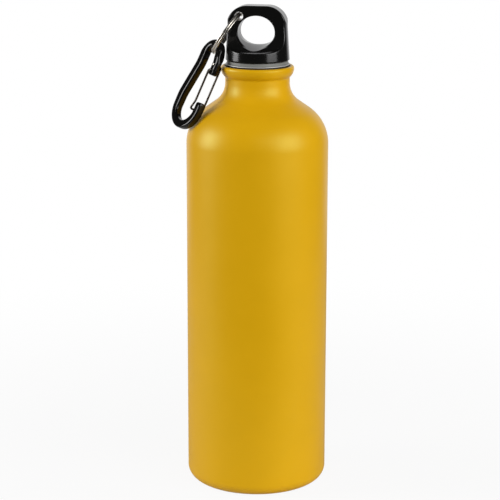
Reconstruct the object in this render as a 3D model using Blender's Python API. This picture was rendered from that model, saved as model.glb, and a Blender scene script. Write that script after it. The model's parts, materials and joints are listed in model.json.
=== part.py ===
"""Aluminium sports bottle: a necked shell, a screw cap with a carry loop, a split ring, a small carabiner.

Run it with blender --background --python part.py, or from Blender's text editor. Metres, +Z up.
The bottle stands on z = 0 with its axis on Z. The front of the cap faces -Y, turned a little by CAP_YAW.
"""

import math

import bmesh
import bpy
from mathutils import Euler, Matrix, Vector

# Bottle shell, a single wall drawn in to a narrow neck
BODY_RADIUS = 0.0365
WALL = 0.0011
BASE_CORNER_RADIUS = 0.0064
BASE_PANEL_RADIUS = 0.0240
BASE_PANEL_LIFT = 0.0010
BASE_SLOPE_WIDTH = 0.0035
SHOULDER_START_HEIGHT = 0.1806
SHOULDER_RADIUS = 0.0218
SHOULDER_ANGLE = 55.0
NECK_BLEND_RADIUS = 0.0116
NECK_RADIUS = 0.0165
NECK_LENGTH = 0.0032
LIP_RADIUS = 0.0187
LIP_FLARE_RADIUS = 0.0058
LIP_BEAD_RADIUS = 0.0013
SHELL_SEGMENTS = 64

# Clearances
SEAT_GAP = 0.0003
CUT_OVERRUN = 0.0020
MERGE_DISTANCE = 0.000001

# Threaded ring pressed into the neck
THREAD_RING_BORE_RADIUS = 0.0136
THREAD_RING_LENGTH = 0.0130
THREAD_RING_STAND_OUT = 0.0004
THREAD_RING_EDGE = 0.0002
THREAD_RING_LEAD_IN = 0.0006
RING_SEGMENTS = 48

# Seal ring between the threaded ring and the cap
SEAL_THICKNESS = 0.0016
SEAL_RADIUS = 0.0157
SEAL_EDGE = 0.0004

# Threaded plug under the cap: its sizes are at the root of the thread
PLUG_RADIUS = 0.0123
PLUG_WALL = 0.0017
PLUG_LENGTH = 0.0131
PLUG_EDGE = 0.0008
PLUG_FLANGE_RADIUS = 0.0141
PLUG_FLANGE_THICKNESS = 0.0023
PLUG_WEB_THICKNESS = 0.0030

# Cap: a drafted skirt that grows into a tall loop with an oval finger hole
CAP_YAW = -10.0
CAP_RADIUS = 0.0164
CAP_HEIGHT = 0.0276
CAP_EDGE = 0.0004
CAP_SEGMENTS = 72
LOOP_SIDE_RADIUS = 0.0153
LOOP_CORNER_RADIUS = 0.0103
LOOP_THICKNESS = 0.0104
LOOP_TOP_THICKNESS = 0.0096
LEDGE_RIM_HEIGHT = 0.0049
LEDGE_RISE = 0.0007
LEDGE_FILLET_RADIUS = 0.0062
LOOP_SIDE_WALL = 0.0058
LOOP_TOP_WALL = 0.0050
FINGER_HOLE_SILL_HEIGHT = 0.0063
FINGER_HOLE_FLARE = 0.0004
FINGER_HOLE_SEGMENTS = 44
LUG_HOLE_RADIUS = 0.0022
LUG_HOLE_OUT = 0.0039
LUG_HOLE_UP = 0.0050
LUG_HOLE_SEGMENTS = 20

# Split ring: two turns of flat wire that cross from one layer to the other in a short jog
SPLIT_RING_DIAMETER = 0.0256
SPLIT_WIRE_RADIAL = 0.0011
SPLIT_WIRE_AXIAL = 0.0009
SPLIT_TURN_GAP = 0.00012
SPLIT_JOG_ANGLE = 34.0
SPLIT_END_ANGLE = 30.0
SPLIT_JOG_PLACE = 60.0
SPLIT_TURN_STEPS = 56
SPLIT_RING_SAG = 0.0007
SPLIT_RING_LEAN = 0.0005
SPLIT_RING_HANG = 34.6

# Carabiner: a bent rod with a wire gate, hung on the far side of the split ring
CARABINER_LENGTH = 0.0490
CARABINER_ROD_RADIUS = 0.0021
CARABINER_TOP_RADIUS = 0.0062
CARABINER_FLANK_ANGLE = 18.8
CARABINER_SHOULDER_RADIUS = 0.0120
CARABINER_SPINE_TOP = 0.0163
CARABINER_SPINE_BASE = 0.0295
CARABINER_SPINE_BEND_RADIUS = 0.0140
CARABINER_BASKET_RADIUS = 0.0093
CARABINER_BASKET_SHIFT = 0.0011
CARABINER_LINK_GAP = 0.00256
CARABINER_OUT_SHIFT = 0.0013
CARABINER_FRONT_SHIFT = 0.0021
CARABINER_TURN = (-0.4, -20.1, -49.4)
ROD_SIDES = 12
ROD_LONGEST_STEP = 0.0040
ROD_END_ROUNDING = 0.0012
ROD_END_SHARES = (0.15, 0.5, 1.0)
HINGE_SIDE = 0.0070
HINGE_END_DEPTH = 0.0162
HINGE_FLAT_LENGTH = 0.0095
HINGE_FLAT_BLEND = 0.0030
HINGE_FLAT_THICKNESS = 0.0036
HINGE_FLAT_WIDTH = 0.0049
NOSE_DEPTH = 0.0312
NOSE_SIDE = CARABINER_BASKET_RADIUS - CARABINER_BASKET_SHIFT
GATE_WIRE_RADIUS = 0.00055
GATE_WIRE_PLAY = 0.0006
GATE_PIVOT_DEPTH = 0.0122
GATE_HOLE_SPACING = 0.0030
GATE_HOLE_SEGMENTS = 14
GATE_WIDTH = 0.0065
GATE_LENGTH = 0.0235
GATE_BEND_RADIUS = 0.0012
GATE_TIP_LENGTH = 0.0045
GATE_TIP_BEND_RADIUS = 0.0040
GATE_BEND_STEP = 22.0

# Largest angle between points on a turned arc and on a bent rod, in degrees
ARC_STEP = 11.0
BEND_STEP = 14.0


def material(name, colour, roughness, metallic=0.0):
    """Makes a Principled material."""
    made = bpy.data.materials.new(name)
    made.use_nodes = True
    shader = made.node_tree.nodes["Principled BSDF"]
    shader.inputs["Base Color"].default_value = (*colour, 1)
    shader.inputs["Roughness"].default_value = roughness
    shader.inputs["Metallic"].default_value = metallic
    return made


def placed(data, name, finish, parent):
    """Links an object made from a mesh or a curve, with its material and its parent."""
    data.materials.append(finish)
    made = bpy.data.objects.new(name, data)
    made.parent = parent
    bpy.context.scene.collection.objects.link(made)
    return made


def mesh_from(work, name):
    """Turns a bmesh into a closed mesh with its faces pointing out, shaded smooth with sharp edges kept."""
    bmesh.ops.remove_doubles(work, verts=work.verts, dist=MERGE_DISTANCE)
    bmesh.ops.recalc_face_normals(work, faces=work.faces)
    data = bpy.data.meshes.new(name)
    work.to_mesh(data)
    work.free()
    data.shade_smooth()
    data.set_sharp_from_angle(angle=math.radians(30))
    return data


def turned(name, profile, segments, closed=False):
    """Spins a profile of (radius, height) points about Z. An open profile starts and ends on the axis."""
    work = bmesh.new()
    points = [work.verts.new((radius, 0, height)) for radius, height in profile]
    edges = [work.edges.new(pair) for pair in zip(points, points[1:])]
    if closed:
        edges.append(work.edges.new((points[-1], points[0])))
    shape = points + edges
    around = {"cent": (0, 0, 0), "axis": (0, 0, 1), "angle": math.tau}
    bmesh.ops.spin(work, geom=shape, steps=segments, use_merge=True, **around)
    return mesh_from(work, name)


def lofted(name, rings):
    """Joins rings of points, each with as many points, and closes both ends."""
    work = bmesh.new()
    loops = [[work.verts.new(point) for point in ring] for ring in rings]
    for near, far in zip(loops, loops[1:]):
        for index in range(len(near)):
            after = (index + 1) % len(near)
            work.faces.new((near[index], near[after], far[after], far[index]))
    work.faces.new(list(reversed(loops[0])))
    work.faces.new(loops[-1])
    return mesh_from(work, name)


def prism(name, outline, half_depth, axis):
    """Extrudes an outline both ways. Its first coordinate lies along X or Y, its second along Z."""
    rings = []
    for side in (-half_depth, half_depth):
        if axis == "Y":
            rings.append([Vector((across, side, height)) for across, height in outline])
        else:
            rings.append([Vector((side, across, height)) for across, height in outline])
    return lofted(name, rings)


def arc(centre, radius, start, end, step=ARC_STEP):
    """Points along an arc, both ends included. Angles are in degrees from the first axis."""
    count = max(2, math.ceil(abs(end - start) / step))
    angles = [math.radians(start + (end - start) * index / count) for index in range(count + 1)]
    return [(centre[0] + radius * math.cos(a), centre[1] + radius * math.sin(a)) for a in angles]


def rounded_path(corners, step=BEND_STEP):
    """Points of a path through (corner, bend radius) pairs, with each inner corner made an arc."""
    path = [corners[0][0]]
    for (before, _), (corner, radius), (after, _) in zip(corners, corners[1:], corners[2:]):
        back = (before - corner).normalized()
        ahead = (after - corner).normalized()
        half = back.angle(ahead) / 2
        centre = corner + (back + ahead).normalized() * radius / math.sin(half)
        first = (corner + back * radius / math.tan(half) - centre).normalized()
        last = (corner + ahead * radius / math.tan(half) - centre).normalized()
        count = max(2, math.ceil(math.degrees(first.angle(last)) / step))
        for index in range(count + 1):
            path.append(centre + first.slerp(last, index / count).normalized() * radius)
    path.append(corners[-1][0])
    steps = zip(path, path[1:])
    return [path[0]] + [here for before, here in steps if (here - before).length > MERGE_DISTANCE]


def circle(radius, segments):
    """Points once round a circle about the origin."""
    turns = [math.tau * index / segments for index in range(segments)]
    return [(radius * math.cos(turn), radius * math.sin(turn)) for turn in turns]


def cutter(data, name, target, operation="DIFFERENCE", place=None):
    """Gives a target object a Boolean with a hidden helper, which shares the target's parent."""
    helper = bpy.data.objects.new(name, data)
    helper.parent = target.parent
    helper.matrix_local = place or Matrix()
    helper.hide_render = True
    helper.display_type = "WIRE"
    bpy.context.scene.collection.objects.link(helper)
    cut = target.modifiers.new(name, "BOOLEAN")
    cut.operation = operation
    cut.object = helper
    return helper


def pivot(name, parent, place):
    """An empty on a joint's axis, at a place given in its parent's space."""
    made = bpy.data.objects.new(name, None)
    made.empty_display_size = LIP_RADIUS
    made.parent = parent
    made.matrix_local = place
    bpy.context.scene.collection.objects.link(made)
    return made


# Heights and radii that follow from the sizes above
SHOULDER_CENTRE_RADIUS = BODY_RADIUS - SHOULDER_RADIUS
NECK_BLEND_CENTRE_RADIUS = NECK_RADIUS + NECK_BLEND_RADIUS
SHOULDER_COS = math.cos(math.radians(SHOULDER_ANGLE))
SHOULDER_SIN = math.sin(math.radians(SHOULDER_ANGLE))
SHOULDER_END_RADIUS = SHOULDER_CENTRE_RADIUS + SHOULDER_RADIUS * SHOULDER_COS
NECK_BLEND_START_RADIUS = NECK_BLEND_CENTRE_RADIUS - NECK_BLEND_RADIUS * SHOULDER_COS
SHOULDER_CONE_HEIGHT = (SHOULDER_END_RADIUS - NECK_BLEND_START_RADIUS) * SHOULDER_COS / SHOULDER_SIN
NECK_START_HEIGHT = (
    SHOULDER_START_HEIGHT + (SHOULDER_RADIUS + NECK_BLEND_RADIUS) * SHOULDER_SIN + SHOULDER_CONE_HEIGHT
)
FLARE_CENTRE_RADIUS = LIP_RADIUS - LIP_FLARE_RADIUS
BEAD_CENTRE_RADIUS = LIP_RADIUS - LIP_BEAD_RADIUS


def flare_angle(radius, arc_radius):
    """Where an arc about the flare's centre reaches a radius, in degrees below level."""
    return math.degrees(math.acos((radius - FLARE_CENTRE_RADIUS) / arc_radius))


FLARE_START_HEIGHT = NECK_START_HEIGHT + NECK_LENGTH
FLARE_CENTRE_HEIGHT = FLARE_START_HEIGHT + LIP_FLARE_RADIUS * math.sin(
    math.radians(flare_angle(NECK_RADIUS, LIP_FLARE_RADIUS))
)
LIP_HEIGHT = FLARE_CENTRE_HEIGHT + LIP_BEAD_RADIUS
THROAT_RADIUS = NECK_RADIUS - WALL
RECESS_RADIUS = LIP_RADIUS - 2 * LIP_BEAD_RADIUS + SEAT_GAP * 2
THREAD_RING_TOP = LIP_HEIGHT + THREAD_RING_STAND_OUT
SEAL_HEIGHT = THREAD_RING_TOP + SEAT_GAP
CAP_SEAT_HEIGHT = SEAL_HEIGHT + SEAL_THICKNESS + SEAT_GAP
LOOP_CORNER_OFFSET = LOOP_SIDE_RADIUS - LOOP_CORNER_RADIUS
LOOP_CORNER_HEIGHT = CAP_HEIGHT - LOOP_CORNER_RADIUS
LUG_HOLE_OFFSET = LOOP_CORNER_OFFSET + LUG_HOLE_OUT
LUG_HOLE_HEIGHT = LOOP_CORNER_HEIGHT + LUG_HOLE_UP


def make_shell(finish):
    """The bottle's wall: base, body, shoulder and neck, with the lip rolled out over the neck."""
    corner = (BODY_RADIUS - BASE_CORNER_RADIUS, BASE_CORNER_RADIUS)
    shoulder = (SHOULDER_CENTRE_RADIUS, SHOULDER_START_HEIGHT)
    blend = (NECK_BLEND_CENTRE_RADIUS, NECK_START_HEIGHT)
    flare = (FLARE_CENTRE_RADIUS, FLARE_CENTRE_HEIGHT)
    bead = (BEAD_CENTRE_RADIUS, FLARE_CENTRE_HEIGHT)
    slope_end = BASE_PANEL_RADIUS + BASE_SLOPE_WIDTH
    outer = [(0, BASE_PANEL_LIFT), (BASE_PANEL_RADIUS, BASE_PANEL_LIFT), (slope_end, 0)]
    outer += arc(corner, BASE_CORNER_RADIUS, -90, 0)
    outer += arc(shoulder, SHOULDER_RADIUS, 0, SHOULDER_ANGLE, ARC_STEP / 2)
    outer += arc(blend, NECK_BLEND_RADIUS, 180 + SHOULDER_ANGLE, 180)
    outer += arc(flare, LIP_FLARE_RADIUS, -flare_angle(NECK_RADIUS, LIP_FLARE_RADIUS), 0)
    mouth = math.degrees(math.acos((RECESS_RADIUS - BEAD_CENTRE_RADIUS) / LIP_BEAD_RADIUS))
    outer += arc(bead, LIP_BEAD_RADIUS, 0, mouth, 2 * ARC_STEP)[1:]
    inner_flare = LIP_FLARE_RADIUS - WALL
    recess_angle = flare_angle(RECESS_RADIUS, inner_flare)
    inner = arc(flare, inner_flare, -recess_angle, -flare_angle(THROAT_RADIUS, inner_flare))
    inner += arc(blend, NECK_BLEND_RADIUS + WALL, 180, 180 + SHOULDER_ANGLE)
    inner += arc(shoulder, SHOULDER_RADIUS - WALL, SHOULDER_ANGLE, 0)
    inner += arc(corner, BASE_CORNER_RADIUS - WALL, 0, -90, 2 * ARC_STEP)
    inner += [(slope_end, WALL), (BASE_PANEL_RADIUS, BASE_PANEL_LIFT + WALL), (0, BASE_PANEL_LIFT + WALL)]
    return placed(turned("bottle_shell", outer + inner, SHELL_SEGMENTS), "bottle_shell", finish, None)


def make_thread_ring(finish):
    """The ring in the neck that carries the inner thread, with a flange that follows the flared lip."""
    outer_radius = THROAT_RADIUS - SEAT_GAP
    flange_radius = RECESS_RADIUS - SEAT_GAP
    flare = (FLARE_CENTRE_RADIUS, FLARE_CENTRE_HEIGHT)
    seat = LIP_FLARE_RADIUS - WALL - SEAT_GAP
    bottom = THREAD_RING_TOP - THREAD_RING_LENGTH
    profile = [(THREAD_RING_BORE_RADIUS, bottom), (outer_radius, bottom)]
    profile += arc(flare, seat, -flare_angle(outer_radius, seat), -flare_angle(flange_radius, seat))
    profile += [
        (flange_radius, THREAD_RING_TOP - THREAD_RING_EDGE),
        (flange_radius - THREAD_RING_EDGE, THREAD_RING_TOP),
        (THREAD_RING_BORE_RADIUS + THREAD_RING_LEAD_IN, THREAD_RING_TOP),
        (THREAD_RING_BORE_RADIUS, THREAD_RING_TOP - THREAD_RING_LEAD_IN),
    ]
    ring = turned("neck_thread_ring", profile, RING_SEGMENTS, True)
    return placed(ring, "neck_thread_ring", finish, None)


def make_seal(finish, seal_seat):
    """The soft ring that the cap presses on the mouth."""
    inner = PLUG_RADIUS + SEAT_GAP
    profile = [
        (inner, 0),
        (SEAL_RADIUS - SEAL_EDGE, 0),
        (SEAL_RADIUS, SEAL_EDGE),
        (SEAL_RADIUS, SEAL_THICKNESS - SEAL_EDGE),
        (SEAL_RADIUS - SEAL_EDGE, SEAL_THICKNESS),
        (inner, SEAL_THICKNESS),
    ]
    return placed(turned("seal_ring", profile, RING_SEGMENTS, True), "seal_ring", finish, seal_seat)


def make_plug(finish, cap_pivot):
    """The hollow plug that screws into the neck, with the flange that closes the cap from below."""
    bore = PLUG_RADIUS - PLUG_WALL
    web = PLUG_FLANGE_THICKNESS - PLUG_WEB_THICKNESS
    profile = [
        (0, PLUG_FLANGE_THICKNESS),
        (PLUG_FLANGE_RADIUS, PLUG_FLANGE_THICKNESS),
        (PLUG_FLANGE_RADIUS, 0),
        (PLUG_RADIUS, 0),
        (PLUG_RADIUS, PLUG_EDGE - PLUG_LENGTH),
        (PLUG_RADIUS - PLUG_EDGE, -PLUG_LENGTH),
        (bore, -PLUG_LENGTH),
        (bore, web - PLUG_EDGE),
        (bore - PLUG_EDGE, web),
        (0, web),
    ]
    return placed(turned("cap_plug", profile, RING_SEGMENTS), "cap_plug", finish, cap_pivot)


def finger_hole():
    """The oval hole through the loop. Its mouths flare at the top and fade out at the saddle."""
    half_width = LOOP_SIDE_RADIUS - LOOP_SIDE_WALL
    half_height = (CAP_HEIGHT - LOOP_TOP_WALL - FINGER_HOLE_SILL_HEIGHT) / 2
    middle = FINGER_HOLE_SILL_HEIGHT + half_height
    face = LOOP_THICKNESS / 2
    rings = []
    mouth = [(face - FINGER_HOLE_FLARE, 0)] + [
        (face + FINGER_HOLE_FLARE * (math.sin(a) - 1), FINGER_HOLE_FLARE * (1 - math.cos(a)))
        for a in (math.radians(45), math.radians(90))
    ]
    stations = [(-CAP_RADIUS - CUT_OVERRUN, FINGER_HOLE_FLARE)]
    stations += [(-depth, grow) for depth, grow in reversed(mouth)]
    stations += mouth + [(CAP_RADIUS + CUT_OVERRUN, FINGER_HOLE_FLARE)]
    for depth, grow in stations:
        ring = []
        for index in range(FINGER_HOLE_SEGMENTS):
            angle = math.tau * index / FINGER_HOLE_SEGMENTS
            wider = grow * (1 + math.sin(angle)) / 2
            across = (half_width + wider) * math.cos(angle)
            up = middle + (half_height + wider) * math.sin(angle)
            ring.append(Vector((across, depth, up)))
        rings.append(ring)
    return lofted("finger_hole_cut", rings)


def make_cap(finish, cap_pivot):
    """The cap: a turned blank, trimmed to the loop's outline, scooped front and back, and pierced."""
    recess_radius = PLUG_FLANGE_RADIUS + SEAT_GAP
    recess_depth = PLUG_FLANGE_THICKNESS + SEAT_GAP
    blank_height = CAP_HEIGHT + CUT_OVERRUN
    profile = [
        (0, recess_depth),
        (recess_radius, recess_depth),
        (recess_radius, 0),
        (CAP_RADIUS - CAP_EDGE, 0),
        (CAP_RADIUS, CAP_EDGE),
        (LOOP_SIDE_RADIUS, LOOP_CORNER_HEIGHT),
        (LOOP_SIDE_RADIUS, blank_height),
        (0, blank_height),
    ]
    cap = placed(turned("cap_loop", profile, CAP_SEGMENTS), "cap_loop", finish, cap_pivot)
    flank = CAP_RADIUS + CUT_OVERRUN
    corner = (LOOP_CORNER_OFFSET, LOOP_CORNER_HEIGHT)
    right = [(flank, -CUT_OVERRUN), (flank, LOOP_CORNER_HEIGHT)]
    right += arc(corner, LOOP_CORNER_RADIUS, 0, 90, ARC_STEP / 2)
    left = [(-across, height) for across, height in reversed(right)]
    cutter(prism("loop_outline", right + left, flank, "Y"), "loop_outline", cap, "INTERSECT")
    face = LOOP_THICKNESS / 2
    fillet = (face + LEDGE_FILLET_RADIUS, LEDGE_RIM_HEIGHT + LEDGE_RISE + LEDGE_FILLET_RADIUS)
    scoop = [(LOOP_TOP_THICKNESS / 2, blank_height + CUT_OVERRUN)]
    scoop += arc(fillet, LEDGE_FILLET_RADIUS, 180, 270)
    scoop += [(CAP_RADIUS, LEDGE_RIM_HEIGHT), (flank, LEDGE_RIM_HEIGHT - CAP_EDGE)]
    scoop += [(flank, blank_height + CUT_OVERRUN)]
    cutter(prism("back_scoop", scoop, flank, "X"), "back_scoop", cap)
    front = [(-across, height) for across, height in scoop]
    cutter(prism("front_scoop", front, flank, "X"), "front_scoop", cap)
    cutter(finger_hole(), "finger_hole_cut", cap)
    lug = circle(LUG_HOLE_RADIUS, LUG_HOLE_SEGMENTS)
    lug_place = Matrix.Translation((-LUG_HOLE_OFFSET, 0, LUG_HOLE_HEIGHT))
    cutter(prism("lug_hole_cut", lug, flank, "Y"), "lug_hole_cut", cap, place=lug_place)
    return cap


SPLIT_WIRE_CIRCLE_RADIUS = (SPLIT_RING_DIAMETER - SPLIT_WIRE_RADIAL) / 2
SPLIT_RING_DROP = SPLIT_WIRE_CIRCLE_RADIUS - SPLIT_RING_SAG
LINK_DEPTH = 2 * SPLIT_WIRE_CIRCLE_RADIUS - SPLIT_RING_SAG


def make_split_ring(finish, ring_pivot):
    """The split ring, in the YZ plane of its pivot, which is the middle of the lug hole."""
    layer = (SPLIT_WIRE_AXIAL + SPLIT_TURN_GAP) / 2
    start = SPLIT_END_ANGLE
    end = 720 - SPLIT_END_ANGLE
    count = round(SPLIT_TURN_STEPS * (end - start) / 360)
    rings = []
    for index in range(count + 1):
        angle = start + (end - start) * index / count
        share = min(1, max(0, (angle - 360) / SPLIT_JOG_ANGLE / 2 + 0.5))
        offset = layer * (2 * share * share * (3 - 2 * share) - 1)
        turn = math.radians(angle + SPLIT_JOG_PLACE)
        ring = []
        for out, side in ((-1, -1), (1, -1), (1, 1), (-1, 1)):
            radius = SPLIT_WIRE_CIRCLE_RADIUS + out * SPLIT_WIRE_RADIAL / 2
            across = offset + side * SPLIT_WIRE_AXIAL / 2 - SPLIT_RING_LEAN
            up = radius * math.cos(turn) - SPLIT_RING_DROP
            ring.append(Vector((across, radius * math.sin(turn), up)))
        rings.append(ring)
    return placed(lofted("split_ring", rings), "split_ring", finish, ring_pivot)


def spaced(path, longest):
    """Adds points along a path wherever two of them lie further apart than the longest step."""
    filled = [path[0]]
    for here, after in zip(path, path[1:]):
        count = max(1, math.ceil((after - here).length / longest))
        filled += [here.lerp(after, index / count) for index in range(1, count + 1)]
    return filled


def end_rounding(distance):
    """How much of its full section a rod has this far from its end."""
    inset = max(0, ROD_END_ROUNDING - distance)
    lost = ROD_END_ROUNDING - math.sqrt(ROD_END_ROUNDING**2 - inset**2)
    return 1 - lost / CARABINER_ROD_RADIUS


def rod_path():
    """The middle line of the bent rod, from its hinge end over the top and round the basket to its nose."""
    bottom = CARABINER_LENGTH - 2 * CARABINER_ROD_RADIUS
    flank = math.radians(CARABINER_FLANK_ANGLE)
    right_top = CARABINER_TOP_RADIUS * math.tan((math.radians(90) - flank) / 2)
    shoulder = (HINGE_SIDE - right_top) / math.tan(flank)
    spine = -CARABINER_BASKET_RADIUS - CARABINER_BASKET_SHIFT
    corners = [
        (HINGE_SIDE, -HINGE_END_DEPTH, 0),
        (HINGE_SIDE, -shoulder, CARABINER_SHOULDER_RADIUS),
        (right_top, 0, CARABINER_TOP_RADIUS),
        (-CARABINER_TOP_RADIUS, 0, CARABINER_TOP_RADIUS),
        (-CARABINER_TOP_RADIUS, -CARABINER_SPINE_TOP, CARABINER_SPINE_BEND_RADIUS),
        (spine, -CARABINER_SPINE_BASE, CARABINER_SPINE_BEND_RADIUS),
        (spine, -bottom, CARABINER_BASKET_RADIUS),
        (NOSE_SIDE, -bottom, CARABINER_BASKET_RADIUS),
        (NOSE_SIDE, -NOSE_DEPTH, 0),
    ]
    path = rounded_path([(Vector((across, 0, up)), radius) for across, up, radius in corners])
    path = spaced(path, ROD_LONGEST_STEP)
    ends = [ROD_END_ROUNDING * share for share in ROD_END_SHARES]
    first = [path[0].lerp(path[1], distance / (path[1] - path[0]).length) for distance in ends]
    last = [path[-1].lerp(path[-2], distance / (path[-2] - path[-1]).length) for distance in reversed(ends)]
    return [path[0]] + first + path[1:-1] + last + [path[-1]]


def make_carabiner_frame(finish, link):
    """The bent rod, in the XZ plane. X points to the gate, and the top of the bend is the origin."""
    path = rod_path()
    travelled = [0]
    for here, after in zip(path, path[1:]):
        travelled.append(travelled[-1] + (after - here).length)
    rings = []
    for index, point in enumerate(path):
        before = path[max(0, index - 1)]
        after = path[min(len(path) - 1, index + 1)]
        along = (after - before).normalized()
        side = Vector((along.z, 0, -along.x))
        flat = min(1, max(0, (HINGE_FLAT_LENGTH - travelled[index]) / HINGE_FLAT_BLEND))
        half_width = CARABINER_ROD_RADIUS + flat * (HINGE_FLAT_WIDTH / 2 - CARABINER_ROD_RADIUS)
        half_depth = CARABINER_ROD_RADIUS + flat * (HINGE_FLAT_THICKNESS / 2 - CARABINER_ROD_RADIUS)
        full = end_rounding(min(travelled[index], travelled[-1] - travelled[index]))
        ring = []
        for corner in range(ROD_SIDES):
            angle = math.tau * (corner + 0.5) / ROD_SIDES
            across = side * half_width * math.cos(angle)
            ring.append(point + (across + Vector((0, half_depth * math.sin(angle), 0))) * full)
        rings.append(ring)
    frame = placed(lofted("carabiner_frame", rings), "carabiner_frame", finish, link)
    frame.location.z = CARABINER_TOP_RADIUS
    outline = circle(GATE_WIRE_RADIUS + GATE_WIRE_PLAY, GATE_HOLE_SEGMENTS)
    for name, side in (("upper_gate_hole", 1), ("lower_gate_hole", -1)):
        up = CARABINER_TOP_RADIUS - GATE_PIVOT_DEPTH + side * GATE_HOLE_SPACING / 2
        place = Matrix.Translation((HINGE_SIDE, 0, up))
        cutter(prism(name, outline, CARABINER_ROD_RADIUS + CUT_OVERRUN, "Y"), name, frame, place=place)
    return frame


def link_place():
    """The middle of the carabiner's top bend, and its turn, in the space of the split ring's pivot."""
    reach = SPLIT_WIRE_RADIAL / 2 + CARABINER_LINK_GAP + CARABINER_ROD_RADIUS
    top = Matrix.Translation((-CARABINER_OUT_SHIFT, -CARABINER_FRONT_SHIFT, reach - LINK_DEPTH))
    turn = Euler([math.radians(angle) for angle in CARABINER_TURN]).to_matrix().to_4x4()
    return top @ turn @ Matrix.Translation((0, 0, -CARABINER_TOP_RADIUS))


def make_gate_wire(finish, gate_pivot):
    """The sprung wire: two legs whose ends turn into the rod's two holes, joined behind the nose."""
    half = GATE_WIDTH / 2
    hole = GATE_HOLE_SPACING / 2
    end = HINGE_FLAT_THICKNESS / 2
    behind_nose = NOSE_SIDE - CARABINER_ROD_RADIUS - GATE_WIRE_RADIUS - SEAT_GAP - HINGE_SIDE
    straight = GATE_TIP_LENGTH - GATE_LENGTH
    corners = [
        ((0, -end, hole), 0),
        ((0, half, hole), GATE_BEND_RADIUS),
        ((0, half, straight), GATE_TIP_BEND_RADIUS),
        ((behind_nose, half, -GATE_LENGTH), GATE_BEND_RADIUS),
        ((behind_nose, -half, -GATE_LENGTH), GATE_BEND_RADIUS),
        ((0, -half, straight), GATE_TIP_BEND_RADIUS),
        ((0, -half, -hole), GATE_BEND_RADIUS),
        ((0, end, -hole), 0),
    ]
    path = rounded_path([(Vector(point), radius) for point, radius in corners], GATE_BEND_STEP)
    data = bpy.data.curves.new("carabiner_gate", "CURVE")
    data.dimensions = "3D"
    data.bevel_depth = GATE_WIRE_RADIUS
    data.bevel_resolution = 2
    data.use_fill_caps = True
    data.twist_mode = "MINIMUM"
    spline = data.splines.new("POLY")
    spline.points.add(len(path) - 1)
    for target, point in zip(spline.points, path):
        target.co = (*point, 1)
    return placed(data, "carabiner_gate", finish, gate_pivot)


def main():
    for old in list(bpy.data.objects):
        bpy.data.objects.remove(old)
    paint = material("powder_coat_yellow", (0.69, 0.38, 0.003), 0.45)
    bare = material("bare_aluminium", (0.72, 0.72, 0.71), 0.35, 1.0)
    rubber = material("grey_silicone", (0.22, 0.22, 0.21), 0.5)
    moulded = material("gloss_black_plastic", (0.008, 0.008, 0.008), 0.2)
    plug_plastic = material("black_plug_plastic", (0.012, 0.012, 0.012), 0.4)
    steel = material("plated_steel", (0.62, 0.6, 0.56), 0.25, 1.0)
    anodised = material("black_anodised", (0.012, 0.011, 0.011), 0.3, 0.6)
    dark_wire = material("dark_spring_wire", (0.05, 0.045, 0.04), 0.35, 1.0)

    make_shell(paint)
    make_thread_ring(bare)
    seal_seat = pivot("seal_seat", None, Matrix.Translation((0, 0, SEAL_HEIGHT)))
    make_seal(rubber, seal_seat)
    on_seal = Matrix.Translation((0, 0, CAP_SEAT_HEIGHT - SEAL_HEIGHT))
    cap_yaw = Matrix.Rotation(math.radians(CAP_YAW), 4, "Z")
    cap_pivot = pivot("cap_pivot", seal_seat, on_seal @ cap_yaw)
    make_plug(plug_plastic, cap_pivot)
    make_cap(moulded, cap_pivot)
    hang = Matrix.Rotation(math.radians(SPLIT_RING_HANG), 4, "Y")
    lug = Matrix.Translation((-LUG_HOLE_OFFSET, 0, LUG_HOLE_HEIGHT))
    ring_pivot = pivot("ring_pivot", cap_pivot, lug @ hang)
    make_split_ring(steel, ring_pivot)
    link = pivot("carabiner_link", ring_pivot, link_place())
    make_carabiner_frame(anodised, link)
    hinge = Matrix.Translation((HINGE_SIDE, 0, CARABINER_TOP_RADIUS - GATE_PIVOT_DEPTH))
    gate_pivot = pivot("gate_pivot", link, hinge)
    make_gate_wire(dark_wire, gate_pivot)
    bpy.context.view_layer.update()


if __name__ == "__main__":
    main()
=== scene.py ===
"""Looks of a yellow aluminium sports bottle with a black loop cap, a split ring and a wire-gate carabiner.

Everything is in metres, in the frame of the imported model: the bottle stands on z = 0 with its axis on Z.
"""

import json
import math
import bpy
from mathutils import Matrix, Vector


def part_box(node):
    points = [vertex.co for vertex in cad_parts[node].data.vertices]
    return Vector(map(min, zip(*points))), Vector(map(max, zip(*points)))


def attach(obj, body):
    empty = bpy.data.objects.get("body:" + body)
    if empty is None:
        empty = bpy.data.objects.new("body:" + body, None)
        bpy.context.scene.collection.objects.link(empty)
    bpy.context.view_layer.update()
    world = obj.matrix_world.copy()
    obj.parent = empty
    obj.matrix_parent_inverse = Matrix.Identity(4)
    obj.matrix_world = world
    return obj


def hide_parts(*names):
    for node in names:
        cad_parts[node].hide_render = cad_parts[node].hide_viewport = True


bl_info = {
    "name": "Aluminium Sports Bottle",
    "version": (1, 0, 0),
    "blender": (4, 5, 0),
    "location": "3D View > Sidebar > Bottle",
    "description": "Builds a sports bottle with its cap, split ring, carabiner and stage",
    "category": "Object",
}

import bmesh
import bpy
import numpy as np
from bpy.props import FloatProperty, FloatVectorProperty, IntProperty, PointerProperty
from mathutils import Matrix, Vector

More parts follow.
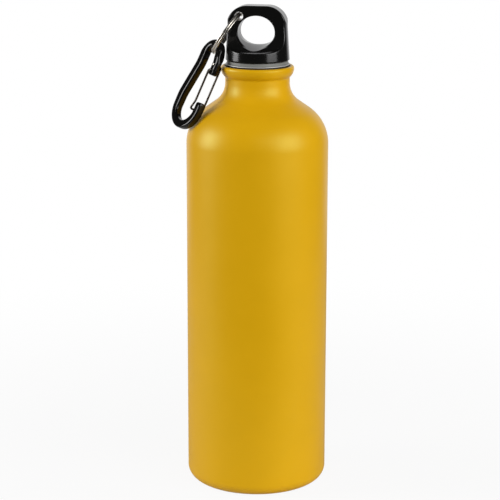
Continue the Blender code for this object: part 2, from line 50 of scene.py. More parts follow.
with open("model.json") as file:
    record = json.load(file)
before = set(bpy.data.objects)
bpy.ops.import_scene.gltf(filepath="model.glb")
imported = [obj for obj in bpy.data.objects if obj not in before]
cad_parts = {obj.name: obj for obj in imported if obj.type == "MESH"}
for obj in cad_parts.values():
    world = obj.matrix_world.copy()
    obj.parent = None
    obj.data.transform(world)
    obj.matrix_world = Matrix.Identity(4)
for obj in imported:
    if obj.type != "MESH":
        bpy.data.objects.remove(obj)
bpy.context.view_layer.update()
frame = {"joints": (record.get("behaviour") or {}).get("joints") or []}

JOINTS = {joint["name"]: joint for joint in frame["joints"]}
SHELL_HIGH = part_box("bottle_shell")[1]
RING_LOW, RING_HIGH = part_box("neck_thread_ring")
SEAL_LOW, SEAL_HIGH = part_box("seal_ring")
CAP_LOW, CAP_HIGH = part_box("cap_loop")
PLUG_LOW, PLUG_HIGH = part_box("cap_plug")
TINY = 1e-9
NODES_A_ROW, NODE_WIDTH, NODE_HEIGHT = 12, 220, 260
RIDGE_FADE, RIDGE_TIP = 0.08, 0.02  # share of a ridge over which it fades, and what is left at its tip
EDGE_STEPS = 4  # faces across each rounded edge of the split ring's wire
NOISE_SPAN = (0.3, 0.7)  # where most of a noise's values lie
PLASTIC_SPECULAR = 0.38
PAINT_SPECULAR = 0.6
FOOT_WEAR = 0.0006  # height up to which the paint is rubbed
RUBBED_TONE, RUBBED_ROUGH = (0.52, 0.45, 0.3, 1.0), 0.25
# Painted shade: a dark, rough, less metallic tone laid in the neck ring's groove below its flange, standing
# in for the shade between the seal and the lip.
GROOVE_SHADE_TONE, GROOVE_SHADE_ROUGH = (0.03, 0.026, 0.018, 1.0), 0.3
GROOVE_SHADE_REACH, GROOVE_SHADE_LIFT = 0.0004, 0.00005  # how far it lies round the groove's floor, and above its top
TURNED_METAL = 0.45
PLASTIC_WORN, PLASTIC_WORN_ROUGH = (0.06, 0.06, 0.06, 1.0), 0.3
ANODISED_WORN = (0.09, 0.085, 0.08, 1.0)
SHARP = 35.0  # angle in degrees over which a small part's edge stays sharp
ROD_STEP = 0.0009  # longest stretch between two of the rod's rings of points
END_TURNS = range(12, 78, 13)  # angles in degrees that round the rod's two ends
SETTLE_PASSES = 4
STEPS_A_CELL = 20  # finest step, as a share of a grid's cell, with which slopes are measured
LEAST_SLOPE = 0.05  # keeps a nearly flat distance from throwing a point far
SENSOR_WIDTH = 36.0
WHITE = (1.0, 1.0, 1.0, 1.0)


def length(name, description, default):
    """A property that holds a size in metres."""
    return FloatProperty(name=name, description=description, default=default, unit="LENGTH", precision=5)


def quantity(name, description, default):
    """A property that holds a plain number."""
    return FloatProperty(name=name, description=description, default=default)


def whole(name, description, default, least=12):
    """A property that holds a whole number."""
    return IntProperty(name=name, description=description, default=default, min=least)


def metres(name, description, default):
    """A property that holds a point, or a panel's two sides, in metres."""
    about = {"name": name, "description": description, "size": len(default)}
    return FloatVectorProperty(default=default, unit="LENGTH", **about)


def share(name, description, default):
    """A property that holds a number from 0 to 1."""
    about = {"name": name, "description": description, "subtype": "FACTOR"}
    return FloatProperty(default=default, min=0, max=1, **about)


def colour(name, description, default):
    """A property that holds a linear colour."""
    return FloatVectorProperty(name=name, description=description, default=default, size=3, subtype="COLOR")


def angle(name, description, default):
    """A property that holds an angle, given here in degrees."""
    return FloatProperty(name=name, description=description, default=math.radians(default), subtype="ANGLE")


class ShellSizes(bpy.types.PropertyGroup):
    """Outline of the drawn bottle."""

    body_radius: length("Body radius", "Outer radius of the straight body", SHELL_HIGH.x)
    wall: length("Wall", "Thickness of the wall", 0.0011)
    base_corner: length("Base corner", "Radius between the body and the base", 0.0064)
    panel_radius: length("Panel radius", "Radius of the recessed middle of the base", 0.0240)
    panel_lift: length("Panel lift", "Height of the recessed middle above the table", 0.0010)
    panel_slope: length("Panel slope", "Width of the slope round the recessed middle", 0.0035)
    panel_blend: length("Panel blend", "Radius of the bends beside that slope", 0.0050)
    shoulder_start: length("Shoulder start", "Height where the shoulder begins", 0.1806)
    shoulder_radius: length("Shoulder radius", "Radius of the round shoulder", 0.0218)
    shoulder_angle: angle("Shoulder angle", "Turn of the shoulder's arc", 55.0)
    neck_blend: length("Neck blend", "Radius between the shoulder and the neck", 0.0116)
    neck_radius: length("Neck radius", "Outer radius of the neck", 0.0165)
    neck_length: length("Neck length", "Straight stretch of the neck", 0.0029)
    lip_radius: length("Lip radius", "Outer radius of the rolled lip", 0.0187)
    flare_radius: length("Flare radius", "Radius of the lip's bulge", 0.0058)
    crease_radius: length("Crease radius", "Radius between the neck and the lip's bulge", 0.0014)
    bead_radius: length("Bead radius", "Radius of the lip's top edge", 0.0013)
    segments: whole("Segments", "Faces round the body", 192)


class NeckSizes(bpy.types.PropertyGroup):
    """The threaded ring in the neck, the seal and the plug."""

    ring_bore: length("Ring bore", "Radius of the threaded ring's bore", 0.0136)
    ring_edge: length("Ring edge", "Rounding of the ring's flange", 0.00015)
    groove_depth: length("Groove depth", "Undercut below the ring's flange", 0.0006)
    groove_width: length("Groove width", "Height of that undercut", 0.0012)
    seal_play: length("Seal play", "Hairline between the flange and the seal that rests on it", 0.00004)
    disc: length("Disc", "Thickness of the flange's edge above the undercut", 0.0003)
    ring_lead: length("Lead-in", "Chamfer at the top of the bore", 0.0006)
    seat_gap: length("Seat gap", "Gap between two pieces that seat on each other", 0.0003)
    seal_edge: length("Seal edge", "Rounding of the seal's outer edges", 0.00022)
    plug_radius: length("Plug radius", "Radius at the root of the plug's thread", 0.0123)
    plug_wall: length("Plug wall", "Wall of the hollow plug", 0.0017)
    plug_edge: length("Plug edge", "Rounding of the plug's end", 0.0006)
    plug_web: length("Plug web", "Thickness of the wall that closes the plug", 0.0030)
    plug_flange: length("Plug flange", "Thickness of the plug's flange inside the cap", 0.0023)
    pitch: length("Pitch", "Rise of the thread in one turn", 0.0040)
    ridge_depth: length("Ridge depth", "How far a thread's ridge stands out", 0.0010)
    ridge_foot: length("Ridge foot", "Width of a ridge at its foot", 0.0019)
    ridge_crest: length("Ridge crest", "Width of a ridge at its crest", 0.0008)
    plug_turns: quantity("Plug turns", "Turns of the plug's thread", 2.4)
    ring_turns: quantity("Ring turns", "Turns of the ring's thread", 2.2)
    ridge_sink: share("Ridge sink", "Share of a ridge's depth that lies in its core", 0.1)
    seal_bore_edge: length("Seal bore edge", "Rounding of the seal's inner edges", 0.0001)
    flange_edge: length("Flange edge", "Rounding of the plug's flange", 0.0002)
    segments: whole("Segments", "Faces round the ring, the seal and the plug", 128)
    steps: whole("Steps", "Steps in one turn of a thread", 72)


class CapSizes(bpy.types.PropertyGroup):
    """The moulded cap with its carry loop."""

    radius: length("Skirt radius", "Radius at the cap's underside", CAP_HIGH.x)
    side_radius: length("Side radius", "Radius of the loop's sides", 0.0153)
    height: length("Height", "From the underside to the top of the loop", CAP_HIGH.z - CAP_LOW.z)
    corner: length("Loop corner", "Radius of the loop's upper corners", 0.0103)
    thickness: length("Loop thickness", "Thickness of the loop at its foot", 0.0104)
    top_thickness: length("Top thickness", "Thickness of the loop at its top", 0.0096)
    rim_height: length("Rim height", "Height of the skirt in front of the loop", 0.0049)
    ledge_rise: length("Ledge rise", "Rise of the ledge towards the loop", 0.0022)
    ledge_bow: length("Ledge bow", "Rise of the ledge at its two sides", 0.0024)
    bow_power: quantity("Bow power", "How late that rise starts", 3.5)
    fillet: length("Fillet", "Radius between the ledge and the loop", 0.0062)
    side_wall: length("Side wall", "Loop beside the finger hole", 0.0058)
    top_wall: length("Top wall", "Loop above the finger hole", 0.0050)
    sill: length("Sill", "Height of the finger hole's lowest point, in the loop's middle", 0.0078)
    saddle: length("Saddle", "How far the hole's floor falls to its two mouths", 0.0028)
    saddle_reach: length("Saddle reach", "From the middle to where that fall ends", 0.0164)
    saddle_power: quantity("Saddle power", "How late that fall starts", 1.3)
    floor_power: quantity("Floor power", "Fullness of the hole's lower half", 2.3)
    hole_middle: length("Hole middle", "Height of the finger hole's widest place", 0.01445)
    hole_edge: length("Hole edge", "Rounding of the finger hole's edges", 0.0005)
    rim_edge: length("Rim edge", "Rounding of the skirt's upper edge", 0.00045)
    face_edge: length("Face edge", "Rounding between the loop's faces and its band", 0.0008)
    foot_edge: length("Foot edge", "Rounding of the skirt's lower edge", 0.0004)
    lug_radius: length("Lug hole radius", "Radius of the split ring's hole", 0.0022)
    lug_edge: length("Lug hole edge", "Rounding of that hole's edges", 0.00035)
    grid: length("Grid", "Spacing of the grid that the surface is read from", 0.00027)


class RingSizes(bpy.types.PropertyGroup):
    """The split ring of two turns."""

    diameter: length("Diameter", "Outer diameter of the ring", 0.0256)
    radial: length("Radial", "Wire size across the ring", 0.0011)
    axial: length("Axial", "Wire size along the ring's axis", 0.0009)
    turn_gap: length("Turn gap", "Gap between the two turns", 0.00018)
    edge: length("Edge", "Rounding of the wire's edges", 0.00040)
    sag: length("Sag", "How far the wire's middle lies above the lug hole's middle", 0.0007)
    lean: length("Lean", "How far the ring lies towards the carabiner in its hole", 0.0005)
    hang: angle("Hang", "Angle between the ring and a plumb line", 34.6)
    end_angle: angle("End angle", "Where each turn starts and ends", 30.0)
    jog_angle: angle("Jog angle", "Length of the step from one turn to the other", 34.0)
    jog_place: angle("Jog place", "Where round the ring that step lies", 60.0)
    steps: whole("Steps", "Steps along the two turns", 300)


class CarabinerSizes(bpy.types.PropertyGroup):
    """The bent rod and its wire gate."""

    length: length("Length", "Overall length", 0.0490)
    rod_radius: length("Rod radius", "Radius of the rod", 0.0021)
    squareness: share("Squareness", "Power that turns the rod's circle, at 1, into a rounded square", 0.42)
    bend_squareness: share("Bend squareness", "The same power in the top bend, where the ring hangs", 0.85)
    bend_fade: length("Bend fade", "Depth below the bend's middle where that power has faded out", 0.0060)
    swell: length("Swell", "Extra half width of the squared spine, taken from its depth", 0.00035)
    flat_squareness: share("Flat squareness", "The same power at the flattened hinge end", 0.65)
    top_radius: length("Top radius", "Radius of the top bend", 0.0062)
    flank_angle: angle("Flank angle", "Slant of the rod above the gate", 18.8)
    shoulder_radius: length("Shoulder radius", "Radius of the bend above the hinge end", 0.0120)
    spine_top: length("Spine top", "Depth where the spine starts to slant", 0.0118)
    spine_base: length("Spine base", "Depth where the slant ends", 0.0295)
    spine_bend: length("Spine bend", "Radius of both bends of the spine", 0.0200)
    basket_radius: length("Basket radius", "Radius of the basket", 0.0093)
    basket_shift: length("Basket shift", "How far the basket lies towards the spine", 0.0011)
    hinge_side: length("Hinge side", "From the middle line to the hinge end", 0.0070)
    hinge_depth: length("Hinge depth", "Depth of the hinge end", 0.0162)
    flat_length: length("Flat length", "Length of the flattened hinge end", 0.0095)
    flat_blend: length("Flat blend", "Length over which the rod turns flat", 0.0030)
    flat_thickness: length("Flat thickness", "Thickness of the flat", 0.0036)
    flat_width: length("Flat width", "Width of the flat", 0.0049)
    nose_depth: length("Nose depth", "Depth of the nose's end", 0.0312)
    end_rounding: length("End rounding", "Rounding of the rod's two ends", 0.0010)
    wire_radius: length("Wire radius", "Radius of the gate's wire", 0.00055)
    wire_play: length("Wire play", "Room round the wire in its holes", 0.0006)
    wire_proud: length("Wire proud", "How far the wire's ends stand out of their holes", 0.00018)
    gate_pivot: length("Gate pivot", "Depth of the gate's pivot", 0.0122)
    hole_spacing: length("Hole spacing", "Distance between the gate's two holes", 0.0030)
    gate_width: length("Gate width", "Distance between the gate's legs", 0.0065)
    gate_length: length("Gate length", "From the gate's pivot to its tip", 0.0235)
    gate_bend: length("Gate bend", "Radius of the wire's tight bends", 0.0012)
    tip_length: length("Tip length", "Stretch that bends behind the nose", 0.0045)
    tip_bend: length("Tip bend", "Radius of that bend", 0.0040)
    sides: whole("Sides", "Faces round the rod", 40)
    wire_sides: whole("Wire sides", "Faces round the gate's wire", 20)
    hole_sides: whole("Hole sides", "Faces round the gate's two holes", 32)


class Finishes(bpy.types.PropertyGroup):
    """Colours and gloss of the finishes."""

    paint: colour("Powder coat", "Yellow of the body", (0.75, 0.400, 0.0012))
    paint_sheen: colour("Powder coat sheen", "Colour of the paint's gloss", (0.68, 1.0, 0.36))
    paint_gloss: share("Powder coat roughness", "Roughness of the paint", 0.37)
    cap: colour("Cap", "Black of the cap", (0.0048, 0.0048, 0.0044))
    cap_gloss: share("Cap roughness", "Roughness of the cap", 0.16)
    plug: colour("Plug", "Black of the plug", (0.010, 0.010, 0.010))
    seal: colour("Seal", "Grey of the seal", (0.21, 0.215, 0.20))
    bare: colour("Bare aluminium", "Colour of bare aluminium", (0.78, 0.78, 0.77))
    steel: colour("Steel", "Colour of the split ring", (0.78, 0.74, 0.67))
    anodised: colour("Anodised", "Black of the carabiner", (0.0065, 0.006, 0.0058))
    wire: colour("Gate wire", "Colour of the gate's wire", (0.10, 0.09, 0.08))


class StageSettings(bpy.types.PropertyGroup):
    """Camera, floor and light."""

    camera_distance: length("Camera distance", "From the axis to the camera, along the floor", 0.92845)
    camera_height: length("Camera height", "Height of the camera", 0.35272)
    camera_tilt: angle("Camera tilt", "How far the camera looks down", 13.861)
    camera_roll: angle("Camera roll", "Turn of the picture", 0.154)
    focal_length: quantity("Focal length", "Lens, in mm", 131.78)
    camera_shift: quantity("Shift", "Sideways shift of the picture", -0.0141)
    floor_size: length("Floor size", "Width of the floor", 0.96)
    floor_front: length("Floor front", "How far the floor reaches in front of the bottle", 0.16)
    floor: colour("Floor", "Colour of the floor", (0.62, 0.62, 0.62))
    floor_glow: share("Floor glow", "White seen near the bottle, over the floor's shading", 0.92)
    glow_start: length("Glow start", "Distance from the bottle where that white starts to rise", 0.08)
    floor_clear: length("Floor clear", "Distance where the camera sees plain white", 0.44)
    world: quantity("World", "Strength of the light from all round", 0.20)
    dark: quantity("Dark", "What gloss shows of the room in front", 0.03)
    backdrop_start: quantity("Backdrop start", "How far back gloss starts to show white", 0.62)
    backdrop_end: quantity("Backdrop end", "How far back gloss shows plain white", 0.88)
    target: metres("Target", "Point that the panels face", (0.0, 0.0, 0.14))
    left_power: quantity("Left panel", "Power of the left panel, in watts", 13.8)
    left_place: metres("Left place", "Middle of the left panel", (-1.34, -0.09, 0.51))
    left_sides: metres("Left sides", "Width and height of the left panel", (0.62, 0.76))
    right_power: quantity("Right panel", "Power of the right panel, in watts", 12.6)
    right_place: metres("Right place", "Middle of the right panel", (1.05, -0.77, 0.57))
    right_sides: metres("Right sides", "Width and height of the right panel", (0.96, 0.84))
    fill_power: quantity("Front fill", "Power of the soft light from the front, in watts", 8.4)
    fill_place: metres("Fill place", "Middle of that light", (0.45, -1.6, 1.0))
    fill_sides: metres("Fill sides", "Width and height of that light", (1.2, 0.9))


def arc(centre, radius, start, end, step=3.0):
    """Points along an arc, both ends included, with angles in degrees."""
    count = max(2, math.ceil(abs(end - start) / step))
    turns = [math.radians(start + (end - start) * index / count) for index in range(count + 1)]
    return [(centre[0] + radius * math.cos(turn), centre[1] + radius * math.sin(turn)) for turn in turns]


def rounded(corners, step=6.0, closed=False):
    """Points of a path through (corner, bend radius) pairs, with each bend made an arc."""
    corners = [(Vector(corner), radius) for corner, radius in corners]
    last = len(corners) - 1
    path = []
    for index, (corner, radius) in enumerate(corners):
        if radius <= 0 or (not closed and index in (0, last)):
            path.append(corner)
            continue
        back = (corners[index - 1][0] - corner).normalized()
        ahead = (corners[(index + 1) % len(corners)][0] - corner).normalized()
        half = back.angle(ahead) / 2
        centre = corner + (back + ahead).normalized() * radius / math.sin(half)
        first = (corner + back * radius / math.tan(half) - centre).normalized()
        final = (corner + ahead * radius / math.tan(half) - centre).normalized()
        sweep = first.angle(final)
        count = max(2, math.ceil(math.degrees(sweep) / step))
        for place in range(count + 1):
            turn = place / count
            near = math.sin((1 - turn) * sweep) / math.sin(sweep)
            far = math.sin(turn * sweep) / math.sin(sweep)
            path.append(centre + (first * near + final * far) * radius)
    return path


def piece(name, data, finishes, body, replaced=()):
    """Links a mesh as a finished piece that rides on a body and stands for CAD nodes."""
    made = bpy.data.objects.new(name, data)
    bpy.context.scene.collection.objects.link(made)
    data.materials.clear()
    for finish in finishes:
        data.materials.append(finish)
    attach(made, body)
    if replaced:
        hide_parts(*replaced)
    return made


def smooth_mesh(work, name, sharp=40.0):
    """Turns a bmesh into a mesh with outward faces, smooth but for its sharp edges."""
    bmesh.ops.remove_doubles(work, verts=work.verts, dist=1e-7)
    bmesh.ops.recalc_face_normals(work, faces=work.faces)
    data = bpy.data.meshes.new(name)
    work.to_mesh(data)
    work.free()
    data.shade_smooth()
    data.set_sharp_from_angle(angle=math.radians(sharp))
    return data


def turned(name, profile, segments, closed=False, sharp=40.0):
    """Spins a profile of (radius, height) points about Z into a closed mesh."""
    work = bmesh.new()
    points = [work.verts.new((radius, 0, height)) for radius, height in profile]
    edges = [work.edges.new(pair) for pair in zip(points, points[1:])]
    if closed:
        edges.append(work.edges.new((points[-1], points[0])))
    around = {"cent": (0, 0, 0), "axis": (0, 0, 1), "angle": math.tau}
    bmesh.ops.spin(work, geom=points + edges, steps=segments, use_merge=True, **around)
    return smooth_mesh(work, name, sharp)


def cap_space():
    """From the cap's own space, with its front at -Y, to the frame."""
    axis = JOINTS["ring_swing"]["axis"]
    yaw = math.atan2(-axis[0], axis[1])
    return Matrix.Translation((0, 0, CAP_LOW.z)) @ Matrix.Rotation(yaw, 4, "Z")


def ring_space(sizes):
    """From the split ring's own space, with its axis on Z and its hanging point at +Y, to the frame."""
    hang = Matrix.Rotation(sizes.hang, 4, "Y")
    turn = Matrix(((0, 0, 1, 0), (1, 0, 0, 0), (0, 1, 0, 0), (0, 0, 0, 1)))
    lug = Matrix.Translation(JOINTS["ring_swing"]["pos_m"])
    yaw = cap_space().to_3x3().to_4x4()
    drop = Matrix.Translation((-sizes.lean, 0, sizes.sag - (sizes.diameter - sizes.radial) / 2))
    return lug @ yaw @ hang @ drop @ turn


def carabiner_space(sizes):
    """From the carabiner's own space, its bend's centre at the origin and the gate at +X, to the frame."""
    link = Vector(JOINTS["carabiner_swing"]["pos_m"])
    across = Vector(JOINTS["carabiner_swing"]["axis"]).normalized()
    reach = Vector(JOINTS["gate_open"]["pos_m"]) - link
    slant = math.atan2(sizes.top_radius - sizes.gate_pivot, sizes.hinge_side)
    side = Matrix.Rotation(slant, 3, across) @ reach.normalized()
    up = side.cross(across)
    turn = Matrix((side, across, up)).transposed().to_4x4()
    return Matrix.Translation(link) @ turn


class NodeShop:
    """Adds nodes to a tree, left to right."""

    def __init__(self, tree):
        self.tree = tree
        self.count = 0

    def add(self, kind, inputs=None, **settings):
        """A new node with its settings and what its inputs are fed."""
        node = self.tree.nodes.new(kind)
        row, column = divmod(self.count, NODES_A_ROW)
        node.location = (column * NODE_WIDTH, -row * NODE_HEIGHT)
        self.count += 1
        for name, value in settings.items():
            setattr(node, name, value)
        for key, value in (inputs or {}).items():
            self.feed(node.inputs[key], value)
        return node

    def feed(self, socket, value):
        """Links another node's output to a socket, or sets the socket to a constant."""
        if isinstance(value, bpy.types.NodeSocket):
            self.tree.links.new(value, socket)
        else:
            socket.default_value = value

    def math(self, operation, first, second=0.0, third=0.0):
        """A number made of up to three others."""
        return self.add("ShaderNodeMath", {0: first, 1: second, 2: third}, operation=operation).outputs[0]

    def remap(self, value, source, target=(0.0, 1.0), kind="LINEAR"):
        """A number moved from one range to another."""
        ends = dict(enumerate((value, *source, *target)))
        return self.add("ShaderNodeMapRange", ends, interpolation_type=kind).outputs[0]

    def blend(self, factor, first, second):
        """A mix of two colours."""
        return self.add("ShaderNodeMix", {0: factor, 6: first, 7: second}, data_type="RGBA").outputs[2]

    def place(self):
        """Where the shaded point lies, in the object's own coordinates."""
        return self.add("ShaderNodeTexCoord").outputs["Object"]

    def noise(self, place, scale, detail, roughness=0.5):
        """A soft random pattern from 0 to 1."""
        inputs = {"Vector": place, "Scale": scale, "Detail": detail, "Roughness": roughness}
        return self.add("ShaderNodeTexNoise", inputs).outputs["Fac"]


def new_tree(name, kind, inputs, outputs):
    """A node group with named sockets: its node shop, and what its input node gives."""
    tree = bpy.data.node_groups.new(name, kind)
    sockets = {float: "Float", int: "Int", tuple: "Vector"}
    for label, default in inputs.items():
        number = sockets.get(type(default))
        socket_type = "NodeSocket" + (number or default)
        made = tree.interface.new_socket(label, in_out="INPUT", socket_type=socket_type)
        if number:
            made.default_value = default
    for label, socket in outputs.items():
        tree.interface.new_socket(label, in_out="OUTPUT", socket_type="NodeSocket" + socket)
    shop = NodeShop(tree)
    return shop, shop.add("NodeGroupInput").outputs


def geometry_tree(name, inputs):
    """A geometry group with these inputs and a material, which gives a geometry."""
    return new_tree(name, "GeometryNodeTree", {**inputs, "Material": "Material"}, {"Geometry": "Geometry"})


def coil(shop, count, across, deep, up):
    """A curve of so many points, each at the place that its index gives."""
    line = shop.add("GeometryNodeMeshLine", {"Count": count, "Offset": (0, 0, 1)})
    place = shop.add("ShaderNodeCombineXYZ", {0: across, 1: deep, 2: up})
    bent = shop.add("GeometryNodeSetPosition", {"Geometry": line.outputs[0], "Position": place.outputs[0]})
    return shop.add("GeometryNodeMeshToCurve", {"Mesh": bent.outputs[0]}).outputs[0]


def finish_sweep(shop, curve, profile, material):
    """Ends a geometry tree: a capped sweep, smooth shading, Realize Instances and Set Material."""
    inputs = {"Curve": curve, "Profile Curve": profile, "Fill Caps": True}
    swept = shop.add("GeometryNodeCurveToMesh", inputs)
    smooth = shop.add("GeometryNodeSetShadeSmooth", {"Geometry": swept.outputs[0]})
    real = shop.add("GeometryNodeRealizeInstances", {"Geometry": smooth.outputs[0]})
    dressed = shop.add("GeometryNodeSetMaterial", {"Geometry": real.outputs[0], "Material": material})
    shop.add("NodeGroupOutput", {0: dressed.outputs[0]})
    return shop.tree


def ridge_tree():
    """A thread's ridge: a trapezoid swept along a helix, fading out at both ends."""
    inputs = {
        "Radius": 0.01,
        "Pitch": 0.004,
        "Turns": 2.0,
        "Start": 0.0,
        "Depth": 0.001,
        "Foot": 0.002,
        "Crest": 0.001,
        "Phase": 0.0,
        "Steps": 72,
    }
    shop, given = geometry_tree("Thread Ridge", inputs)
    total = shop.math("ROUND", shop.math("MULTIPLY", given["Turns"], given["Steps"]))
    index = shop.add("GeometryNodeInputIndex").outputs[0]
    turn = shop.math("DIVIDE", index, given["Steps"])
    around = shop.math("MULTIPLY_ADD", turn, math.tau, given["Phase"])
    across = shop.math("MULTIPLY", shop.math("COSINE", around), given["Radius"])
    deep = shop.math("MULTIPLY", shop.math("SINE", around), given["Radius"])
    up = shop.math("MULTIPLY_ADD", turn, given["Pitch"], given["Start"])
    helix = coil(shop, shop.math("ADD", total, 1.0), across, deep, up)
    along = shop.math("DIVIDE", index, total)
    nearest = shop.math("MINIMUM", along, shop.math("SUBTRACT", 1.0, along))
    fade = shop.remap(nearest, (0.0, RIDGE_FADE), (RIDGE_TIP, 1.0), "SMOOTHSTEP")
    scaled = shop.add("GeometryNodeSetCurveRadius", {"Curve": helix, "Radius": fade})
    level = shop.add("GeometryNodeSetCurveNormal", {"Curve": scaled.outputs[0]}, mode="Z_UP")
    sides = {
        "Height": shop.math("MULTIPLY", given["Depth"], 2.0),
        "Bottom Width": given["Foot"],
        "Top Width": given["Crest"],
        "Offset": 0.0,
    }
    profile = shop.add("GeometryNodeCurvePrimitiveQuadrilateral", sides, mode="TRAPEZOID")
    return finish_sweep(shop, level.outputs[0], profile.outputs[0], given["Material"])


def split_ring_tree():
    """Two turns of wire with rounded edges, which step from one layer to the other."""
    inputs = {
        "Radius": 0.012,
        "Radial": 0.001,
        "Axial": 0.001,
        "Edge": 0.0002,
        "Layer": 0.0005,
        "Start": 0.5,
        "End": 12.0,
        "Jog": 0.6,
        "Phase": 1.0,
        "Steps": 300,
    }
    shop, given = geometry_tree("Split Ring", inputs)
    index = shop.add("GeometryNodeInputIndex").outputs[0]
    along = shop.math("DIVIDE", index, given["Steps"])
    sweep = shop.math("SUBTRACT", given["End"], given["Start"])
    turn = shop.math("MULTIPLY_ADD", along, sweep, given["Start"])
    early = shop.math("SUBTRACT", math.tau, given["Jog"])
    late = shop.math("ADD", math.tau, given["Jog"])
    below = shop.math("MULTIPLY", given["Layer"], -1.0)
    step = shop.remap(turn, (early, late), (below, given["Layer"]), "SMOOTHSTEP")
    around = shop.math("ADD", turn, given["Phase"])
    deep = shop.math("MULTIPLY", shop.math("COSINE", around), given["Radius"])
    across = shop.math("MULTIPLY", shop.math("SINE", around), given["Radius"])
    helix = coil(shop, shop.math("ADD", given["Steps"], 1.0), across, deep, step)
    level = shop.add("GeometryNodeSetCurveNormal", {"Curve": helix}, mode="Z_UP")
    sides = {"Width": given["Axial"], "Height": given["Radial"]}
    section = shop.add("GeometryNodeCurvePrimitiveQuadrilateral", sides, mode="RECTANGLE")
    edges = {"Curve": section.outputs[0], "Radius": given["Edge"], "Count": EDGE_STEPS}
    soft = shop.add("GeometryNodeFilletCurve", edges, mode="POLY")
    return finish_sweep(shop, level.outputs[0], soft.outputs[0], given["Material"])


def wire_tree():
    """A round wire swept along the curve that carries the modifier."""
    inputs = {"Geometry": "Geometry", "Radius": 0.0005, "Sides": 16}
    shop, given = geometry_tree("Round Wire", inputs)
    circle = {"Radius": given["Radius"], "Resolution": given["Sides"]}
    section = shop.add("GeometryNodeCurvePrimitiveCircle", circle, mode="RADIUS")
    return finish_sweep(shop, given["Geometry"], section.outputs[0], given["Material"])


def grown(name, tree, values, host=None, place=None):
    """The plain mesh that a geometry tree makes on a host object, moved to its place."""
    if host is None:
        host = bpy.data.objects.new(name, bpy.data.meshes.new(name))
    bpy.context.scene.collection.objects.link(host)
    grower = host.modifiers.new(tree.name, "NODES")
    grower.node_group = tree
    for item in tree.interface.items_tree:
        if item.in_out == "INPUT" and item.name in values:
            grower[item.identifier] = values[item.name]
    data = plain_mesh(name, host)
    data.transform(place or Matrix())
    return data


def plain_mesh(name, host):
    """The mesh of an object with its modifiers applied; the object itself goes."""
    view = bpy.context.evaluated_depsgraph_get()
    data = bpy.data.meshes.new_from_object(host.evaluated_get(view))
    bpy.data.objects.remove(host)
    data.name = name
    return data


def grain_group(name, coarse_scale, fine_scale):
    """A surface grain of two sizes, as a height and as a mask for slow changes."""
    inputs = {"Size": 1.0, "Coarse": 0.6, "Fine": 0.4}
    shop, given = new_tree(name, "ShaderNodeTree", inputs, {"Height": "Float", "Mask": "Float"})
    place = shop.place()
    coarse = shop.noise(place, shop.math("DIVIDE", coarse_scale, given["Size"]), detail=2.0)
    fine = shop.noise(place, shop.math("DIVIDE", fine_scale, given["Size"]), detail=3.0)
    slow = shop.noise(place, scale=28.0, detail=4.0, roughness=0.6)
    high = shop.math("MULTIPLY", coarse, given["Coarse"])
    height = shop.math("MULTIPLY_ADD", fine, given["Fine"], high)
    shop.add("NodeGroupOutput", {0: height, 1: slow})
    return shop.tree


def edge_wear_group(name, worn_edge, worn_patch):
    """A mask that is 1 on worn outer edges, broken up by noise."""
    inputs = {"Radius": 0.0005, "Amount": 0.5, "Break Up": 900.0}
    shop, given = new_tree(name, "ShaderNodeTree", inputs, {"Mask": "Float"})
    soft = shop.add("ShaderNodeBevel", {"Radius": given["Radius"]}, samples=6)
    hard = shop.add("ShaderNodeNewGeometry").outputs["Normal"]
    same = shop.add("ShaderNodeVectorMath", {0: soft.outputs[0], 1: hard}, operation="DOT_PRODUCT")
    turn = shop.math("SUBTRACT", 1.0, same.outputs["Value"])
    patches = shop.noise(shop.place(), given["Break Up"], detail=3.0)
    worn = shop.math("MULTIPLY", shop.remap(patches, worn_patch), shop.remap(turn, worn_edge))
    shop.add("NodeGroupOutput", {0: shop.math("MULTIPLY", worn, given["Amount"])})
    return shop.tree


def hairline_group(name, span):
    """Fine hairlines along one axis of the object, as a height and a mask."""
    inputs = {"Stretch": (40.0, 40.0, 1500.0), "Strength": 1.0}
    shop, given = new_tree(name, "ShaderNodeTree", inputs, {"Height": "Float", "Mask": "Float"})
    axes = {0: shop.place(), 1: given["Stretch"]}
    long = shop.add("ShaderNodeVectorMath", axes, operation="MULTIPLY").outputs[0]
    lines = shop.noise(long, scale=1.0, detail=4.0)
    height = shop.math("MULTIPLY", lines, given["Strength"])
    shop.add("NodeGroupOutput", {0: height, 1: shop.remap(lines, span)})
    return shop.tree


SHADER_GROUPS = {
    "Orange Peel": (grain_group, 620.0, 2100.0),
    "Moulded Skin": (grain_group, 160.0, 1400.0),
    "Edge Wear": (edge_wear_group, (0.01, 0.12), (0.42, 0.62)),
    "Hairlines": (hairline_group, (0.55, 0.75)),
}


class FinishShop(NodeShop):
    """The nodes of a new material with a Principled BSDF."""

    def __init__(self, name):
        self.material = bpy.data.materials.new(name)
        self.material.use_nodes = True
        super().__init__(self.material.node_tree)
        self.shader = self.tree.nodes["Principled BSDF"]
        self.shader.location = ((NODES_A_ROW + 1) * NODE_WIDTH, 0)
        self.output = self.tree.nodes["Material Output"]
        self.output.location = ((NODES_A_ROW + 3) * NODE_WIDTH, 0)

    def placed(self, name, **values):
        """What a shader group gives; the group is built when it is first asked for."""
        maker, *settings = SHADER_GROUPS[name]
        tree = bpy.data.node_groups.get(name) or maker(name, *settings)
        return self.add("ShaderNodeGroup", values, node_tree=tree).outputs

    def shade(self, **values):
        """Feeds the shader's sockets, with _ for each blank in their names."""
        for label, value in values.items():
            self.feed(self.shader.inputs[label.replace("_", " ")], value)

    def dress(self, tone, rough, height, depth, strength, metallic=0.0):
        """Feeds the shader its colour, roughness, metal and bump, and gives the material."""
        bump = self.add("ShaderNodeBump", {"Height": height, "Distance": depth, "Strength": strength})
        self.shade(Base_Color=tone, Roughness=rough, Metallic=metallic, Normal=bump.outputs[0])
        return self.material


def tint(tone, factor=1.0):
    """A colour made lighter or darker, with its alpha."""
    return (*(channel * factor for channel in tone), 1.0)


